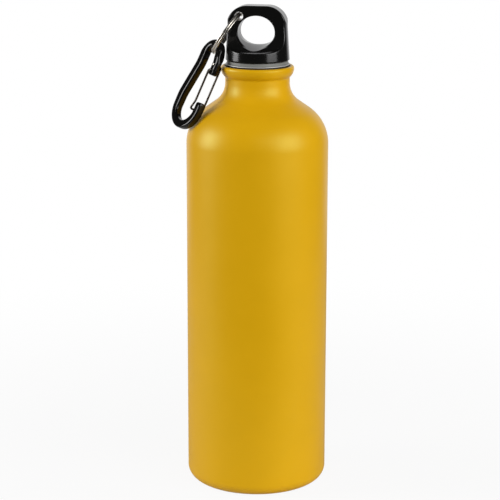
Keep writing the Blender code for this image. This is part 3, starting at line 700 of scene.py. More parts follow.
def powder_coat(finish):
    """Yellow powder coat: a satin skin with a fine orange peel, slow changes of tone and a rubbed foot."""
    shop = FinishShop("powder_coat_yellow")
    peel = shop.placed("Orange Peel", Coarse=0.7, Fine=0.3)
    patches = shop.remap(peel["Mask"], NOISE_SPAN)
    tone = shop.blend(patches, tint(finish.paint, 0.975), tint(finish.paint, 1.02))
    place = shop.place()
    height = shop.add("ShaderNodeSeparateXYZ", {0: place}).outputs[2]
    low = shop.remap(height, (0.0, FOOT_WEAR), (1.0, 0.0))
    specks = shop.noise(place, scale=700.0, detail=4.0)
    rubbed = shop.math("MULTIPLY", low, shop.remap(specks, (0.5, 0.62), (0.0, 0.7)))
    gloss = (finish.paint_gloss - 0.03, finish.paint_gloss + 0.04)
    satin = shop.remap(peel["Mask"], NOISE_SPAN, gloss)
    rough = shop.math("MULTIPLY_ADD", rubbed, RUBBED_ROUGH, satin)
    shop.shade(Specular_Tint=tint(finish.paint_sheen), Specular_IOR_Level=PAINT_SPECULAR)
    base = shop.blend(rubbed, tone, RUBBED_TONE)
    return shop.dress(base, rough, peel["Height"], depth=0.00006, strength=0.35)


def inner_wall(finish):
    """The bare inside of the shell, with faint drawing lines up its wall."""
    shop = FinishShop("bare_inner_wall")
    lines = shop.placed("Hairlines", Stretch=(900.0, 900.0, 12.0), Strength=1.0)
    tone = shop.blend(lines["Mask"], tint(finish.bare, 0.62), tint(finish.bare, 0.8))
    rough = shop.remap(lines["Height"], NOISE_SPAN, (0.38, 0.52))
    return shop.dress(tone, rough, lines["Height"], depth=0.00002, strength=0.5, metallic=1.0)


def turned_aluminium(finish, groove_radius, groove_top):
    """Aluminium with the fine rings that a lathe leaves, and painted shade in the groove below its flange.
    """
    shop = FinishShop("turned_aluminium")
    x, y, z = shop.add("ShaderNodeSeparateXYZ", {0: shop.place()}).outputs
    radius = shop.math("SQRT", shop.math("MULTIPLY_ADD", y, y, shop.math("MULTIPLY", x, x)))
    track = shop.add("ShaderNodeCombineXYZ", {0: radius, 2: z}).outputs[0]
    lines = shop.noise(track, scale=9000.0, detail=2.0)
    # Painted shade: the groove below the flange is darkened, roughened and made less metallic where shade
    # falls.
    off = shop.math("ABSOLUTE", shop.math("SUBTRACT", radius, groove_radius))
    deep = shop.math("LESS_THAN", off, GROOVE_SHADE_REACH)
    below = shop.math("LESS_THAN", z, groove_top + GROOVE_SHADE_LIFT)
    painted_shade = shop.math("MULTIPLY", deep, below)
    tone = shop.blend(painted_shade, tint(finish.bare, 0.8), GROOVE_SHADE_TONE)
    shine = shop.remap(lines, NOISE_SPAN, (0.5, 0.62))
    rough = shop.math("MULTIPLY_ADD", painted_shade, GROOVE_SHADE_ROUGH, shine)
    metal = shop.math("MULTIPLY_ADD", painted_shade, -TURNED_METAL, TURNED_METAL)
    return shop.dress(tone, rough, lines, depth=0.00002, strength=0.4, metallic=metal)


def silicone(finish):
    """Grey silicone with a dusty, slightly uneven skin."""
    shop = FinishShop("grey_silicone")
    skin = shop.placed("Moulded Skin", Size=0.6, Coarse=0.5, Fine=0.5)
    dusty = shop.remap(skin["Mask"], (0.35, 0.65))
    tone = shop.blend(dusty, tint(finish.seal, 0.94), tint(finish.seal, 1.08))
    rough = shop.remap(skin["Mask"], NOISE_SPAN, (0.42, 0.55))
    return shop.dress(tone, rough, skin["Height"], depth=0.00003, strength=0.4)


def moulded_plastic(name, tone, gloss, wear):
    """Black moulded plastic: glossy, with finger smears in its gloss and a faint pull in its skin."""
    shop = FinishShop(name)
    skin = shop.placed("Moulded Skin", Coarse=0.75, Fine=0.25)
    edges = shop.placed("Edge Wear", Radius=0.0004, Amount=wear)["Mask"]
    base = shop.blend(edges, tint(tone), PLASTIC_WORN)
    smears = shop.remap(skin["Mask"], (0.35, 0.7), (gloss - 0.03, gloss + 0.07))
    rough = shop.math("MULTIPLY_ADD", edges, PLASTIC_WORN_ROUGH, smears)
    shop.shade(Specular_IOR_Level=PLASTIC_SPECULAR)
    return shop.dress(base, rough, skin["Height"], depth=0.00005, strength=0.25)


def plated_steel(finish):
    """The split ring's plated wire, drawn and tumbled."""
    shop = FinishShop("plated_steel")
    skin = shop.placed("Moulded Skin", Size=0.25, Coarse=0.5, Fine=0.5)
    patches = shop.remap(skin["Mask"], NOISE_SPAN)
    tone = shop.blend(patches, tint(finish.steel, 0.93), tint(finish.steel, 1.04))
    rough = shop.remap(skin["Mask"], NOISE_SPAN, (0.24, 0.34))
    return shop.dress(tone, rough, skin["Height"], depth=0.000004, strength=0.3, metallic=1.0)


def black_anodised(finish):
    """Tumbled and black anodised aluminium, worn a little on its edges."""
    shop = FinishShop("black_anodised")
    skin = shop.placed("Moulded Skin", Size=0.4, Coarse=0.6, Fine=0.4)
    edges = shop.placed("Edge Wear", Radius=0.0005, Amount=0.5)["Mask"]
    tone = shop.blend(edges, tint(finish.anodised), ANODISED_WORN)
    rough = shop.remap(skin["Mask"], NOISE_SPAN, (0.07, 0.11))
    return shop.dress(tone, rough, skin["Height"], depth=0.000012, strength=0.3, metallic=0.35)


def spring_wire(name, tone, gloss):
    """Hard drawn wire, with the streaks of its drawing."""
    shop = FinishShop(name)
    skin = shop.placed("Moulded Skin", Size=0.3, Coarse=0.4, Fine=0.6)
    patches = shop.remap(skin["Mask"], NOISE_SPAN)
    mixed = shop.blend(patches, tint(tone, 0.85), tint(tone, 1.15))
    rough = shop.remap(skin["Height"], NOISE_SPAN, gloss)
    return shop.dress(mixed, rough, skin["Height"], depth=0.000004, strength=0.3, metallic=1.0)


def shell_outline(sizes, neck):
    """The wall's profile, as (radius, height): outside from the base up, inside from the lip down."""
    turn = math.degrees(sizes.shoulder_angle)
    cos, sin = math.cos(sizes.shoulder_angle), math.sin(sizes.shoulder_angle)
    shoulder = (sizes.body_radius - sizes.shoulder_radius, sizes.shoulder_start)
    blend_radius = sizes.neck_radius + sizes.neck_blend
    cone_out = shoulder[0] + sizes.shoulder_radius * cos
    cone_in = blend_radius - sizes.neck_blend * cos
    bends = (sizes.shoulder_radius + sizes.neck_blend) * sin
    neck_start = shoulder[1] + bends + (cone_out - cone_in) * cos / sin
    blend = (blend_radius, neck_start)
    flare_radius = sizes.lip_radius - sizes.flare_radius
    meet = math.acos((sizes.neck_radius - flare_radius) / sizes.flare_radius)
    flare_height = neck_start + sizes.neck_length + sizes.flare_radius * math.sin(meet)
    flare = (flare_radius, flare_height)
    bead = (sizes.lip_radius - sizes.bead_radius, flare_height)
    crease_radius = sizes.neck_radius + sizes.crease_radius
    reach = sizes.flare_radius + sizes.crease_radius
    crease = (crease_radius, flare_height - math.sqrt(reach**2 - (crease_radius - flare_radius) ** 2))
    crease_turn = math.degrees(math.atan2(flare_height - crease[1], crease_radius - flare_radius))
    corner = (sizes.body_radius - sizes.base_corner, sizes.base_corner)
    slope_end = sizes.panel_radius + sizes.panel_slope
    base = [
        ((0, sizes.panel_lift), 0),
        ((sizes.panel_radius, sizes.panel_lift), sizes.panel_blend),
        ((slope_end, 0), sizes.panel_blend),
        ((corner[0], 0), 0),
    ]
    outer = [tuple(point) for point in rounded(base, step=2.0)]
    outer += arc(corner, sizes.base_corner, -90, 0, step=5.0)[1:]
    outer += arc(shoulder, sizes.shoulder_radius, 0, turn, step=2.0)
    outer += arc(blend, sizes.neck_blend, 180 + turn, 180, step=2.5)
    outer += arc(crease, sizes.crease_radius, 180, 180 - crease_turn, step=5.0)
    outer += arc(flare, sizes.flare_radius, -crease_turn, 0, step=3.0)[1:]
    recess = sizes.lip_radius - 2 * sizes.bead_radius + 2 * neck.seat_gap
    mouth = math.degrees(math.acos((recess - bead[0]) / sizes.bead_radius))
    outer += arc(bead, sizes.bead_radius, 0, mouth, step=6.0)[1:]
    throat = sizes.neck_radius - sizes.wall
    inner_flare = sizes.flare_radius - sizes.wall
    high = math.degrees(math.acos((recess - flare_radius) / inner_flare))
    low = math.degrees(math.acos((throat - flare_radius) / inner_flare))
    inner = arc(flare, inner_flare, -high, -low, step=4.0)
    inner += arc(blend, sizes.neck_blend + sizes.wall, 180, 180 + turn, step=3.0)
    inner += arc(shoulder, sizes.shoulder_radius - sizes.wall, turn, 0, step=3.0)
    inner += arc(corner, sizes.base_corner - sizes.wall, 0, -90, step=6.0)
    floor = [
        (inner[-1], 0),
        ((slope_end, sizes.wall), sizes.panel_blend),
        ((sizes.panel_radius, sizes.panel_lift + sizes.wall), sizes.panel_blend),
        ((0, sizes.panel_lift + sizes.wall), 0),
    ]
    inner += [tuple(point) for point in rounded(floor, step=2.0)][1:]
    return outer, inner


def build_shell(context):
    """The drawn shell, painted outside and bare inside."""
    sizes = context.scene.bottle_shell_sizes
    finish = context.scene.bottle_finishes
    outer, inner = shell_outline(sizes, context.scene.bottle_neck_sizes)
    data = turned("yellow_shell", outer + inner, sizes.segments, sharp=50.0)
    finishes = [powder_coat(finish), inner_wall(finish)]
    made = piece("yellow_shell", data, finishes, "bottle", ["bottle_shell"])
    mouth = inner[0][1]
    lowest = min(height for _, height in inner) - TINY
    for face in data.polygons:
        x, y, z = face.center
        inward = face.normal.x * x + face.normal.y * y < 0
        floor = z < 3 * sizes.wall and face.normal.z > 0
        if lowest < z < mouth and (inward or floor):
            face.material_index = 1
    return made


def add_thread(name, neck, finish, body, slot, **values):
    """A thread's ridge round the bottle's axis, as a piece of its own."""
    values |= {"Pitch": neck.pitch, "Steps": neck.steps, "Material": finish}
    values |= {"Depth": neck.ridge_depth, "Foot": neck.ridge_foot, "Crest": neck.ridge_crest}
    tree = bpy.data.node_groups.get("Thread Ridge") or ridge_tree()
    return piece(name, grown(name, tree, values), [finish], body)


def build_neck_ring(context):
    """The turned ring in the neck, with its inner thread."""
    sizes = context.scene.bottle_shell_sizes
    neck = context.scene.bottle_neck_sizes
    face = SEAL_LOW.z - neck.seal_play
    top, bottom = face - neck.disc, face - neck.disc - neck.groove_width
    inset = RING_HIGH.x - neck.groove_depth
    finish = turned_aluminium(context.scene.bottle_finishes, inset, top)
    flare_radius = sizes.lip_radius - sizes.flare_radius
    flare_height = SHELL_HIGH.z - sizes.bead_radius
    seat = sizes.flare_radius - sizes.wall - neck.seat_gap
    outer = sizes.neck_radius - sizes.wall - neck.seat_gap
    high = math.degrees(math.acos((RING_HIGH.x - flare_radius) / seat))
    low = math.degrees(math.acos((outer - flare_radius) / seat))
    edge = (RING_HIGH.x - neck.ring_edge, face - neck.ring_edge)
    profile = [(neck.ring_bore, RING_LOW.z), (outer, RING_LOW.z)]
    profile += arc((flare_radius, flare_height), seat, -low, -high, step=4.0)
    profile += [(RING_HIGH.x, bottom), (inset, bottom + neck.ring_edge), (inset, top), (RING_HIGH.x, top)]
    profile += arc(edge, neck.ring_edge, 0, 90, step=30.0)
    profile += [(neck.ring_bore + neck.ring_lead, face), (neck.ring_bore, face - neck.ring_lead)]
    ring = turned("neck_ring", profile, neck.segments, closed=True, sharp=SHARP)
    piece("neck_ring", ring, [finish], "bottle", ["neck_thread_ring"])
    values = {
        "Radius": neck.ring_bore + neck.ridge_depth * neck.ridge_sink,
        "Turns": neck.ring_turns,
        "Start": RING_LOW.z + neck.ridge_foot,
        "Phase": 0.0,
    }
    return add_thread("neck_ring_thread", neck, finish, "bottle", "bare_aluminium", **values)


def build_seal(context):
    """The soft ring under the cap."""
    neck = context.scene.bottle_neck_sizes
    inner = neck.plug_radius + neck.seat_gap
    corners = [
        ((inner, SEAL_LOW.z), neck.seal_bore_edge),
        ((SEAL_HIGH.x, SEAL_LOW.z), neck.seal_edge),
        ((SEAL_HIGH.x, SEAL_HIGH.z), neck.seal_edge),
        ((inner, SEAL_HIGH.z), neck.seal_bore_edge),
    ]
    profile = [tuple(point) for point in rounded(corners, step=12.0, closed=True)]
    data = turned("grey_seal", profile, neck.segments, closed=True)
    finish = silicone(context.scene.bottle_finishes)
    return piece("grey_seal", data, [finish], "seal", ["seal_ring"])


def build_plug(context):
    """The hollow plug under the cap, with its outer thread."""
    neck = context.scene.bottle_neck_sizes
    finishes = context.scene.bottle_finishes
    finish = moulded_plastic("black_plug_plastic", finishes.plug, gloss=0.34, wear=0.1)
    bore = neck.plug_radius - neck.plug_wall
    web = CAP_LOW.z + neck.plug_flange - neck.plug_web
    flange, top = PLUG_HIGH.x, PLUG_HIGH.z
    corners = [
        ((0, top), 0),
        ((flange, top), neck.flange_edge),
        ((flange, CAP_LOW.z), neck.flange_edge),
        ((neck.plug_radius, CAP_LOW.z), neck.flange_edge),
        ((neck.plug_radius, PLUG_LOW.z), neck.plug_edge),
        ((bore, PLUG_LOW.z), neck.plug_edge),
        ((bore, web), neck.plug_edge),
        ((0, web), 0),
    ]
    profile = [tuple(point) for point in rounded(corners, step=12.0)]
    data = turned("black_plug", profile, neck.segments)
    piece("black_plug", data, [finish], "cap", ["cap_plug"])
    values = {
        "Radius": neck.plug_radius - neck.ridge_depth * neck.ridge_sink,
        "Turns": neck.plug_turns,
        "Start": PLUG_LOW.z + neck.ridge_foot,
        "Phase": math.pi,
    }
    return add_thread("black_plug_thread", neck, finish, "cap", "plug_plastic", **values)


def meet_round(first, second, radius):
    """Distance to what two shapes share, with the edge between them rounded."""
    over = np.sqrt(np.maximum(radius + first, 0) ** 2 + np.maximum(radius + second, 0) ** 2)
    return np.minimum(-radius, np.maximum(first, second)) + over


def join_round(first, second, radius):
    """Distance to two shapes together, with a hollow fillet between them."""
    under = np.sqrt(np.maximum(radius - first, 0) ** 2 + np.maximum(radius - second, 0) ** 2)
    return np.maximum(radius, np.minimum(first, second)) - under


def cap_distance(sizes, neck, lug):
    """A function that gives the distance of points, in the cap's own space, to its surface."""
    half_width = sizes.side_radius - sizes.side_wall
    middle = sizes.hole_middle
    over = sizes.height - sizes.top_wall - middle
    under = middle - sizes.sill
    corner_height = sizes.height - sizes.corner
    corner_side = sizes.side_radius - sizes.corner
    slope = (sizes.radius - sizes.side_radius) / corner_height
    recess_radius = PLUG_HIGH.x + neck.seat_gap
    recess_depth = neck.plug_flange + neck.seat_gap
    ledge_edge = sizes.thickness / 2 + sizes.fillet
    draft = (sizes.thickness - sizes.top_thickness) / 2 / sizes.height

    def distance(x, y, z):
        side = sizes.side_radius + slope * np.clip(corner_height - z, 0, None)
        blank = (np.hypot(x, y) - side) / math.hypot(1, slope)
        out = np.abs(x) * sizes.side_radius / side - corner_side
        up = z - corner_height
        beyond = np.hypot(np.maximum(out, 0), np.maximum(up, 0))
        outline = beyond + np.minimum(np.maximum(out, up), 0) - sizes.corner
        blank = np.maximum(blank, outline)
        plate = np.abs(y) - sizes.thickness / 2 + draft * z
        inward = np.clip((sizes.radius - np.hypot(x, y)) / (sizes.radius - ledge_edge), 0, 1)
        ledge_top = sizes.rim_height + sizes.ledge_rise * inward**2
        ledge_top = ledge_top + sizes.ledge_bow * (np.abs(x) / sizes.side_radius) ** sizes.bow_power
        keep = join_round(plate, z - ledge_top, sizes.fillet)
        higher = np.clip((z - sizes.rim_height) / (sizes.rim_height * 2), 0, 1)
        solid = meet_round(blank, keep, sizes.rim_edge + (sizes.face_edge - sizes.rim_edge) * higher)
        floor_fall = sizes.saddle * np.minimum(np.abs(y) / sizes.saddle_reach, 1) ** sizes.saddle_power
        half_height = np.where(z > middle, over, under + floor_fall)
        along, rise = x / half_width, (z - middle) / half_height
        power = np.where(z > middle, 2.0, sizes.floor_power)
        reach = (np.abs(along) ** power + np.abs(rise) ** power) ** (1 / power)
        steep = np.maximum(np.hypot(along / half_width, rise / half_height), TINY)
        hole = reach * (reach - 1) / steep
        solid = meet_round(solid, -hole, sizes.hole_edge)
        bore = np.hypot(x - lug.x, z - lug.z) - sizes.lug_radius
        solid = meet_round(solid, -bore, sizes.lug_edge)
        solid = meet_round(solid, -z, sizes.foot_edge)
        recess = np.maximum(np.hypot(x, y) - recess_radius, z - recess_depth)
        return np.maximum(solid, -recess)

    return distance


def settled(points, distance, spacing):
    """Points moved onto the surface where a distance function is zero."""
    nudge = spacing / STEPS_A_CELL
    for _ in range(SETTLE_PASSES):
        x, y, z = points.T
        value = distance(x, y, z)
        slopes = np.stack(
            [
                distance(x + nudge, y, z) - distance(x - nudge, y, z),
                distance(x, y + nudge, z) - distance(x, y - nudge, z),
                distance(x, y, z + nudge) - distance(x, y, z - nudge),
            ],
            -1,
        ) / (2 * nudge)
        steepness = np.maximum((slopes**2).sum(-1), LEAST_SLOPE)
        points -= np.clip(value / steepness, -spacing, spacing)[:, None] * slopes
    return points


def surface_of(name, distance, low, high, spacing):
    """A smooth quad mesh of the surface where a distance function is zero, read on a grid."""
    counts = [math.ceil((high[axis] - low[axis]) / spacing) + 1 for axis in range(3)]
    lines = [low[axis] + spacing * np.arange(counts[axis]) for axis in range(3)]
    grid = np.meshgrid(*lines, indexing="ij")
    values = distance(*grid)
    inside = values < 0
    cells = tuple(count - 1 for count in counts)
    hits = np.zeros(cells)
    sums = np.zeros(cells + (3,))
    crossings = []
    for axis in range(3):
        here = tuple(slice(0, -1) if other == axis else slice(None) for other in range(3))
        next_one = tuple(slice(1, None) if other == axis else slice(None) for other in range(3))
        crossed = np.argwhere(inside[here] != inside[next_one])
        rows = tuple(crossed.T)
        near, far = values[here][rows], values[next_one][rows]
        point = np.stack([grid[other][here][rows] for other in range(3)], -1)
        point[:, axis] += spacing * near / (near - far)
        first, second = [other for other in range(3) if other != axis]
        around = []
        for back_one, back_two in ((1, 1), (0, 1), (0, 0), (1, 0)):
            cell = crossed.copy()
            cell[:, first] -= back_one
            cell[:, second] -= back_two
            around.append(cell)
            spot = tuple(cell.T)
            np.add.at(hits, spot, 1)
            np.add.at(sums, spot, point)
        flip = inside[here][rows] == (axis != 1)
        crossings.append((around, flip))
    used = hits > 0
    number = np.full(cells, -1)
    number[used] = np.arange(used.sum())
    points = sums[used] / hits[used][:, None]
    faces = []
    for around, flip in crossings:
        quads = np.stack([number[tuple(cell.T)] for cell in around], -1)
        quads[~flip] = quads[~flip][:, ::-1]
        faces.append(quads)
    faces = np.concatenate(faces)
    points = settled(points, distance, spacing)
    data = bpy.data.meshes.new(name)
    data.from_pydata(points.tolist(), [], faces.tolist())
    work = bmesh.new()
    work.from_mesh(data)
    bmesh.ops.recalc_face_normals(work, faces=work.faces)
    work.to_mesh(data)
    work.free()
    data.shade_smooth()
    return data


def build_cap(context):
    """The moulded cap, whose surface is read from rounded joins of plain shapes."""
    sizes = context.scene.bottle_cap_sizes
    neck = context.scene.bottle_neck_sizes
    place = cap_space()
    lug = place.inverted() @ Vector(JOINTS["ring_swing"]["pos_m"])
    margin = 4 * sizes.grid
    low = (-sizes.radius - margin, -sizes.radius - margin, -margin)
    high = (sizes.radius + margin, sizes.radius + margin, sizes.height + margin)
    data = surface_of("black_loop_cap", cap_distance(sizes, neck, lug), low, high, sizes.grid)
    data.transform(place)
    finishes = context.scene.bottle_finishes
    finish = moulded_plastic("gloss_black_plastic", finishes.cap, finishes.cap_gloss, wear=0.12)
    return piece("black_loop_cap", data, [finish], "cap", ["cap_loop"])


def build_split_ring(context):
    """The split ring of two turns."""
    sizes = context.scene.bottle_ring_sizes
    finish = plated_steel(context.scene.bottle_finishes)
    values = {
        "Radius": (sizes.diameter - sizes.radial) / 2,
        "Radial": sizes.radial,
        "Axial": sizes.axial,
        "Edge": sizes.edge,
        "Layer": (sizes.axial + sizes.turn_gap) / 2,
        "Start": sizes.end_angle,
        "End": 2 * math.tau - sizes.end_angle,
        "Jog": sizes.jog_angle,
        "Phase": sizes.jog_place,
        "Steps": sizes.steps,
        "Material": finish,
    }
    data = grown("steel_split_ring", split_ring_tree(), values, place=ring_space(sizes))
    return piece("steel_split_ring", data, [finish], "ring", ["split_ring"])


def rod_line(sizes):
    """The middle line of the bent rod, from its hinge end over the top and round the basket to its nose."""
    bottom = sizes.length - 2 * sizes.rod_radius
    right_top = sizes.top_radius * math.tan((math.pi / 2 - sizes.flank_angle) / 2)
    shoulder = (sizes.hinge_side - right_top) / math.tan(sizes.flank_angle)
    spine = -sizes.basket_radius - sizes.basket_shift
    nose = sizes.basket_radius - sizes.basket_shift
    corners = [
        ((sizes.hinge_side, -sizes.hinge_depth), 0),
        ((sizes.hinge_side, -shoulder), sizes.shoulder_radius),
        ((right_top, 0), sizes.top_radius),
        ((-sizes.top_radius, 0), sizes.top_radius),
        ((-sizes.top_radius, -sizes.spine_top), sizes.spine_bend),
        ((spine, -sizes.spine_base), sizes.spine_bend),
        ((spine, -bottom), sizes.basket_radius),
        ((nose, -bottom), sizes.basket_radius),
        ((nose, -sizes.nose_depth), 0),
    ]
    line = rounded(corners, step=3.0)
    filled = [line[0]]
    for here, after in zip(line, line[1:]):
        count = math.ceil((after - here).length / ROD_STEP)
        filled += [here.lerp(after, index / count) for index in range(1, count + 1)]
    ends = [sizes.end_rounding * (1 - math.cos(math.radians(turn))) for turn in END_TURNS]
    first = [filled[0] + (filled[1] - filled[0]).normalized() * reach for reach in ends]
    last = [filled[-1] + (filled[-2] - filled[-1]).normalized() * reach for reach in reversed(ends)]
    clear = [point for point in filled[1:-1] if (point - filled[0]).length > sizes.end_rounding]
    clear = [point for point in clear if (point - filled[-1]).length > sizes.end_rounding]
    return [filled[0]] + first + clear + last + [filled[-1]]


def clamped(value):
    """A value held between 0 and 1."""
    return min(1, max(0, value))


def bent_rod(sizes):
    """The carabiner's rod as a mesh: a rounded square, rounder in its top bend, flat at its hinge end."""
    line = rod_line(sizes)
    travelled = np.concatenate([[0], np.cumsum([(b - a).length for a, b in zip(line, line[1:])])])
    work = bmesh.new()
    loops = []
    for index, point in enumerate(line):
        before, after = line[max(0, index - 1)], line[min(len(line) - 1, index + 1)]
        along = (after - before).normalized()
        side = Vector((along.y, -along.x))
        flat = clamped((sizes.flat_length - travelled[index]) / sizes.flat_blend)
        flat = flat * flat * (3 - 2 * flat)
        half_width = sizes.rod_radius + flat * (sizes.flat_width / 2 - sizes.rod_radius)
        half_depth = sizes.rod_radius + flat * (sizes.flat_thickness / 2 - sizes.rod_radius)
        bent = clamped(1 + point.y / sizes.bend_fade)
        swell = sizes.swell * (1 - bent) * clamped(-point.x / sizes.top_radius)
        half_width += swell * clamped(1 - (-sizes.spine_base - point.y) / sizes.basket_radius)
        half_depth -= swell / 2
        to_end = min(travelled[index], travelled[-1] - travelled[index])
        inset = max(0, sizes.end_rounding - to_end)
        lost = sizes.end_rounding - math.sqrt(max(0, sizes.end_rounding**2 - inset**2))
        power = sizes.squareness + (sizes.bend_squareness - sizes.squareness) * bent
        power += (sizes.flat_squareness - power) * flat
        loop = []
        for corner in range(sizes.sides):
            turn = math.tau * corner / sizes.sides
            cos, sin = math.cos(turn), math.sin(turn)
            across = math.copysign(abs(cos) ** power, cos) * (half_width - lost)
            deep = math.copysign(abs(sin) ** power, sin) * (half_depth - lost)
            spot = point + side * across
            loop.append(work.verts.new((spot.x, deep, spot.y)))
        loops.append(loop)
    for near, far in zip(loops, loops[1:]):
        for index in range(len(near)):
            after = (index + 1) % len(near)
            work.faces.new((near[index], near[after], far[after], far[index]))
    work.faces.new(list(reversed(loops[0])))
    work.faces.new(loops[-1])
    data = smooth_mesh(work, "black_carabiner", SHARP)
    data.transform(Matrix.Translation((0, 0, sizes.top_radius)))
    return data


def build_carabiner(context):
    """The carabiner's rod, pierced by the gate's two holes."""
    sizes = context.scene.bottle_carabiner_sizes
    rod = bpy.data.objects.new("black_carabiner", bent_rod(sizes))
    context.scene.collection.objects.link(rod)
    radius = sizes.wire_radius + sizes.wire_play
    round_drill = {"radius1": radius, "radius2": radius, "depth": 4 * sizes.rod_radius}
    drills = []
    for side in (-1, 1):
        up = sizes.top_radius - sizes.gate_pivot + side * sizes.hole_spacing / 2
        place = Matrix.Translation((sizes.hinge_side, 0, up)) @ Matrix.Rotation(math.pi / 2, 4, "X")
        work = bmesh.new()
        about = {"cap_ends": True, "segments": sizes.hole_sides, "matrix": place}
        bmesh.ops.create_cone(work, **about, **round_drill)
        drills.append(bpy.data.objects.new("drill", smooth_mesh(work, "drill")))
        context.scene.collection.objects.link(drills[-1])
        rod.modifiers.new("gate_hole", "BOOLEAN").object = drills[-1]
    pierced = plain_mesh("black_carabiner", rod)
    for drill in drills:
        bpy.data.objects.remove(drill)
    pierced.transform(carabiner_space(sizes))
    pierced.set_sharp_from_angle(angle=math.radians(SHARP))
    finish = black_anodised(context.scene.bottle_finishes)
    return piece("black_carabiner", pierced, [finish], "carabiner", ["carabiner_frame"])


def build_gate(context):
    """The sprung wire gate, with its cut ends left bright."""
    sizes = context.scene.bottle_carabiner_sizes
    half = sizes.gate_width / 2
    hole = sizes.hole_spacing / 2
    end = sizes.flat_thickness / 2 + sizes.wire_proud
    nose = sizes.basket_radius - sizes.basket_shift
    gap = context.scene.bottle_neck_sizes.seat_gap
    behind = nose - sizes.rod_radius - sizes.wire_radius - gap - sizes.hinge_side
    straight = sizes.tip_length - sizes.gate_length
    corners = [
        ((0, -end, hole), 0),
        ((0, half, hole), sizes.gate_bend),
        ((0, half, straight), sizes.tip_bend),
        ((behind, half, -sizes.gate_length), sizes.gate_bend),
        ((behind, -half, -sizes.gate_length), sizes.gate_bend),
        ((0, -half, straight), sizes.tip_bend),
        ((0, -half, -hole), sizes.gate_bend),
        ((0, end, -hole), 0),
    ]
    pivot = Matrix.Translation((sizes.hinge_side, 0, sizes.top_radius - sizes.gate_pivot))
    line = rounded(corners, step=6.0)
    host = bpy.data.objects.new("gate_line", bpy.data.curves.new("gate_line", "CURVE"))
    host.data.dimensions = "3D"
    spline = host.data.splines.new("POLY")
    spline.points.add(len(line) - 1)
    for target, point in zip(spline.points, line):
        target.co = (*(pivot @ point), 1)
    finishes = context.scene.bottle_finishes
    wire = spring_wire("dark_spring_wire", finishes.wire, gloss=(0.16, 0.28))
    cut = spring_wire("cut_wire_end", finishes.steel, gloss=(0.38, 0.5))
    values = {"Radius": sizes.wire_radius, "Sides": sizes.wire_sides, "Material": wire}
    data = grown("spring_gate", wire_tree(), values, host=host, place=carabiner_space(sizes))
    made = piece("spring_gate", data, [wire, cut], "gate", ["carabiner_gate"])
    for face in data.polygons:
        if len(face.vertices) > 4:
            face.material_index = 1
            face.use_smooth = False
    return made


def build_floor(context):
    """A wide pale floor, which the camera sees nearly white, with the bottle's soft shadow on it."""
    stage = context.scene.bottle_stage
    half = stage.floor_size / 2
    corners = [(-half, -stage.floor_front), (half, -stage.floor_front), (half, half), (-half, half)]
    data = bpy.data.meshes.new("floor")
    data.from_pydata([(x, y, 0) for x, y in corners], [], [(0, 1, 2, 3)])
    made = bpy.data.objects.new("floor", data)
    context.scene.collection.objects.link(made)
    shop = FinishShop("pale_floor")
    place = shop.place()
    mottle = shop.noise(place, scale=3.0, detail=3.0)
    tone = shop.blend(mottle, tint(stage.floor, 0.99), tint(stage.floor, 1.01))
    shop.shade(Base_Color=tone, Roughness=0.7)
    away = shop.add("ShaderNodeVectorMath", {0: place}, operation="LENGTH").outputs["Value"]
    ahead = shop.add("ShaderNodeSeparateXYZ", {0: place}).outputs[1]
    far = (stage.glow_start, stage.floor_clear)
    near = (-stage.floor_front, -stage.floor_front / 2)
    amount = shop.remap(away, far, (stage.floor_glow, 1.0), "SMOOTHSTEP")
    edge = shop.remap(ahead, near, (1.0, stage.floor_glow), "SMOOTHSTEP")
    glow = shop.add("ShaderNodeEmission", {"Color": WHITE, "Strength": 1.0})
    seen = shop.add("ShaderNodeLightPath").outputs["Is Camera Ray"]
    white = shop.math("MULTIPLY", seen, shop.math("MAXIMUM", amount, edge))
    mix = shop.add("ShaderNodeMixShader", {0: white, 1: shop.shader.outputs[0], 2: glow.outputs[0]})
    shop.feed(shop.output.inputs["Surface"], mix.outputs[0])
    data.materials.append(shop.material)
    return made


def area_light(context, name, place, sides, power):
    """A soft panel that faces the stage's target."""
    data = bpy.data.lights.new(name, "AREA")
    data.shape = "RECTANGLE"
    data.size, data.size_y = sides
    data.energy = power
    made = bpy.data.objects.new(name, data)
    made.location = place
    ahead = Vector(context.scene.bottle_stage.target) - made.location
    made.rotation_euler = ahead.to_track_quat("-Z", "Y").to_euler()
    context.scene.collection.objects.link(made)
    return made


def build_lights(context):
    """Soft panels left and right, a front fill without a highlight, and a room that is dark in front."""
    stage = context.scene.bottle_stage
    area_light(context, "left_panel", stage.left_place, stage.left_sides, stage.left_power)
    area_light(context, "right_panel", stage.right_place, stage.right_sides, stage.right_power)
    fill = area_light(context, "front_fill", stage.fill_place, stage.fill_sides, stage.fill_power)
    fill.visible_glossy = False
    world = bpy.data.worlds.new("soft_studio")
    world.use_nodes = True
    context.scene.world = world
    tree = world.node_tree
    shop = NodeShop(tree)
    rays = shop.add("ShaderNodeLightPath")
    behind = shop.add("ShaderNodeSeparateXYZ", {0: shop.place()}).outputs[1]
    depth = (stage.backdrop_start, stage.backdrop_end)
    backdrop = shop.remap(behind, depth, (stage.dark, 1.0), "SMOOTHSTEP")
    mirrored = shop.math("MAXIMUM", rays.outputs["Is Glossy Ray"], rays.outputs["Is Transmission Ray"])
    bounced = shop.math("MULTIPLY", rays.outputs["Is Diffuse Ray"], stage.world)
    soft = shop.math("MULTIPLY_ADD", mirrored, backdrop, bounced)
    strength = shop.math("MAXIMUM", soft, rays.outputs["Is Camera Ray"])
    light = tree.nodes["Background"]
    shop.feed(light.inputs["Color"], WHITE)
    shop.feed(light.inputs["Strength"], strength)


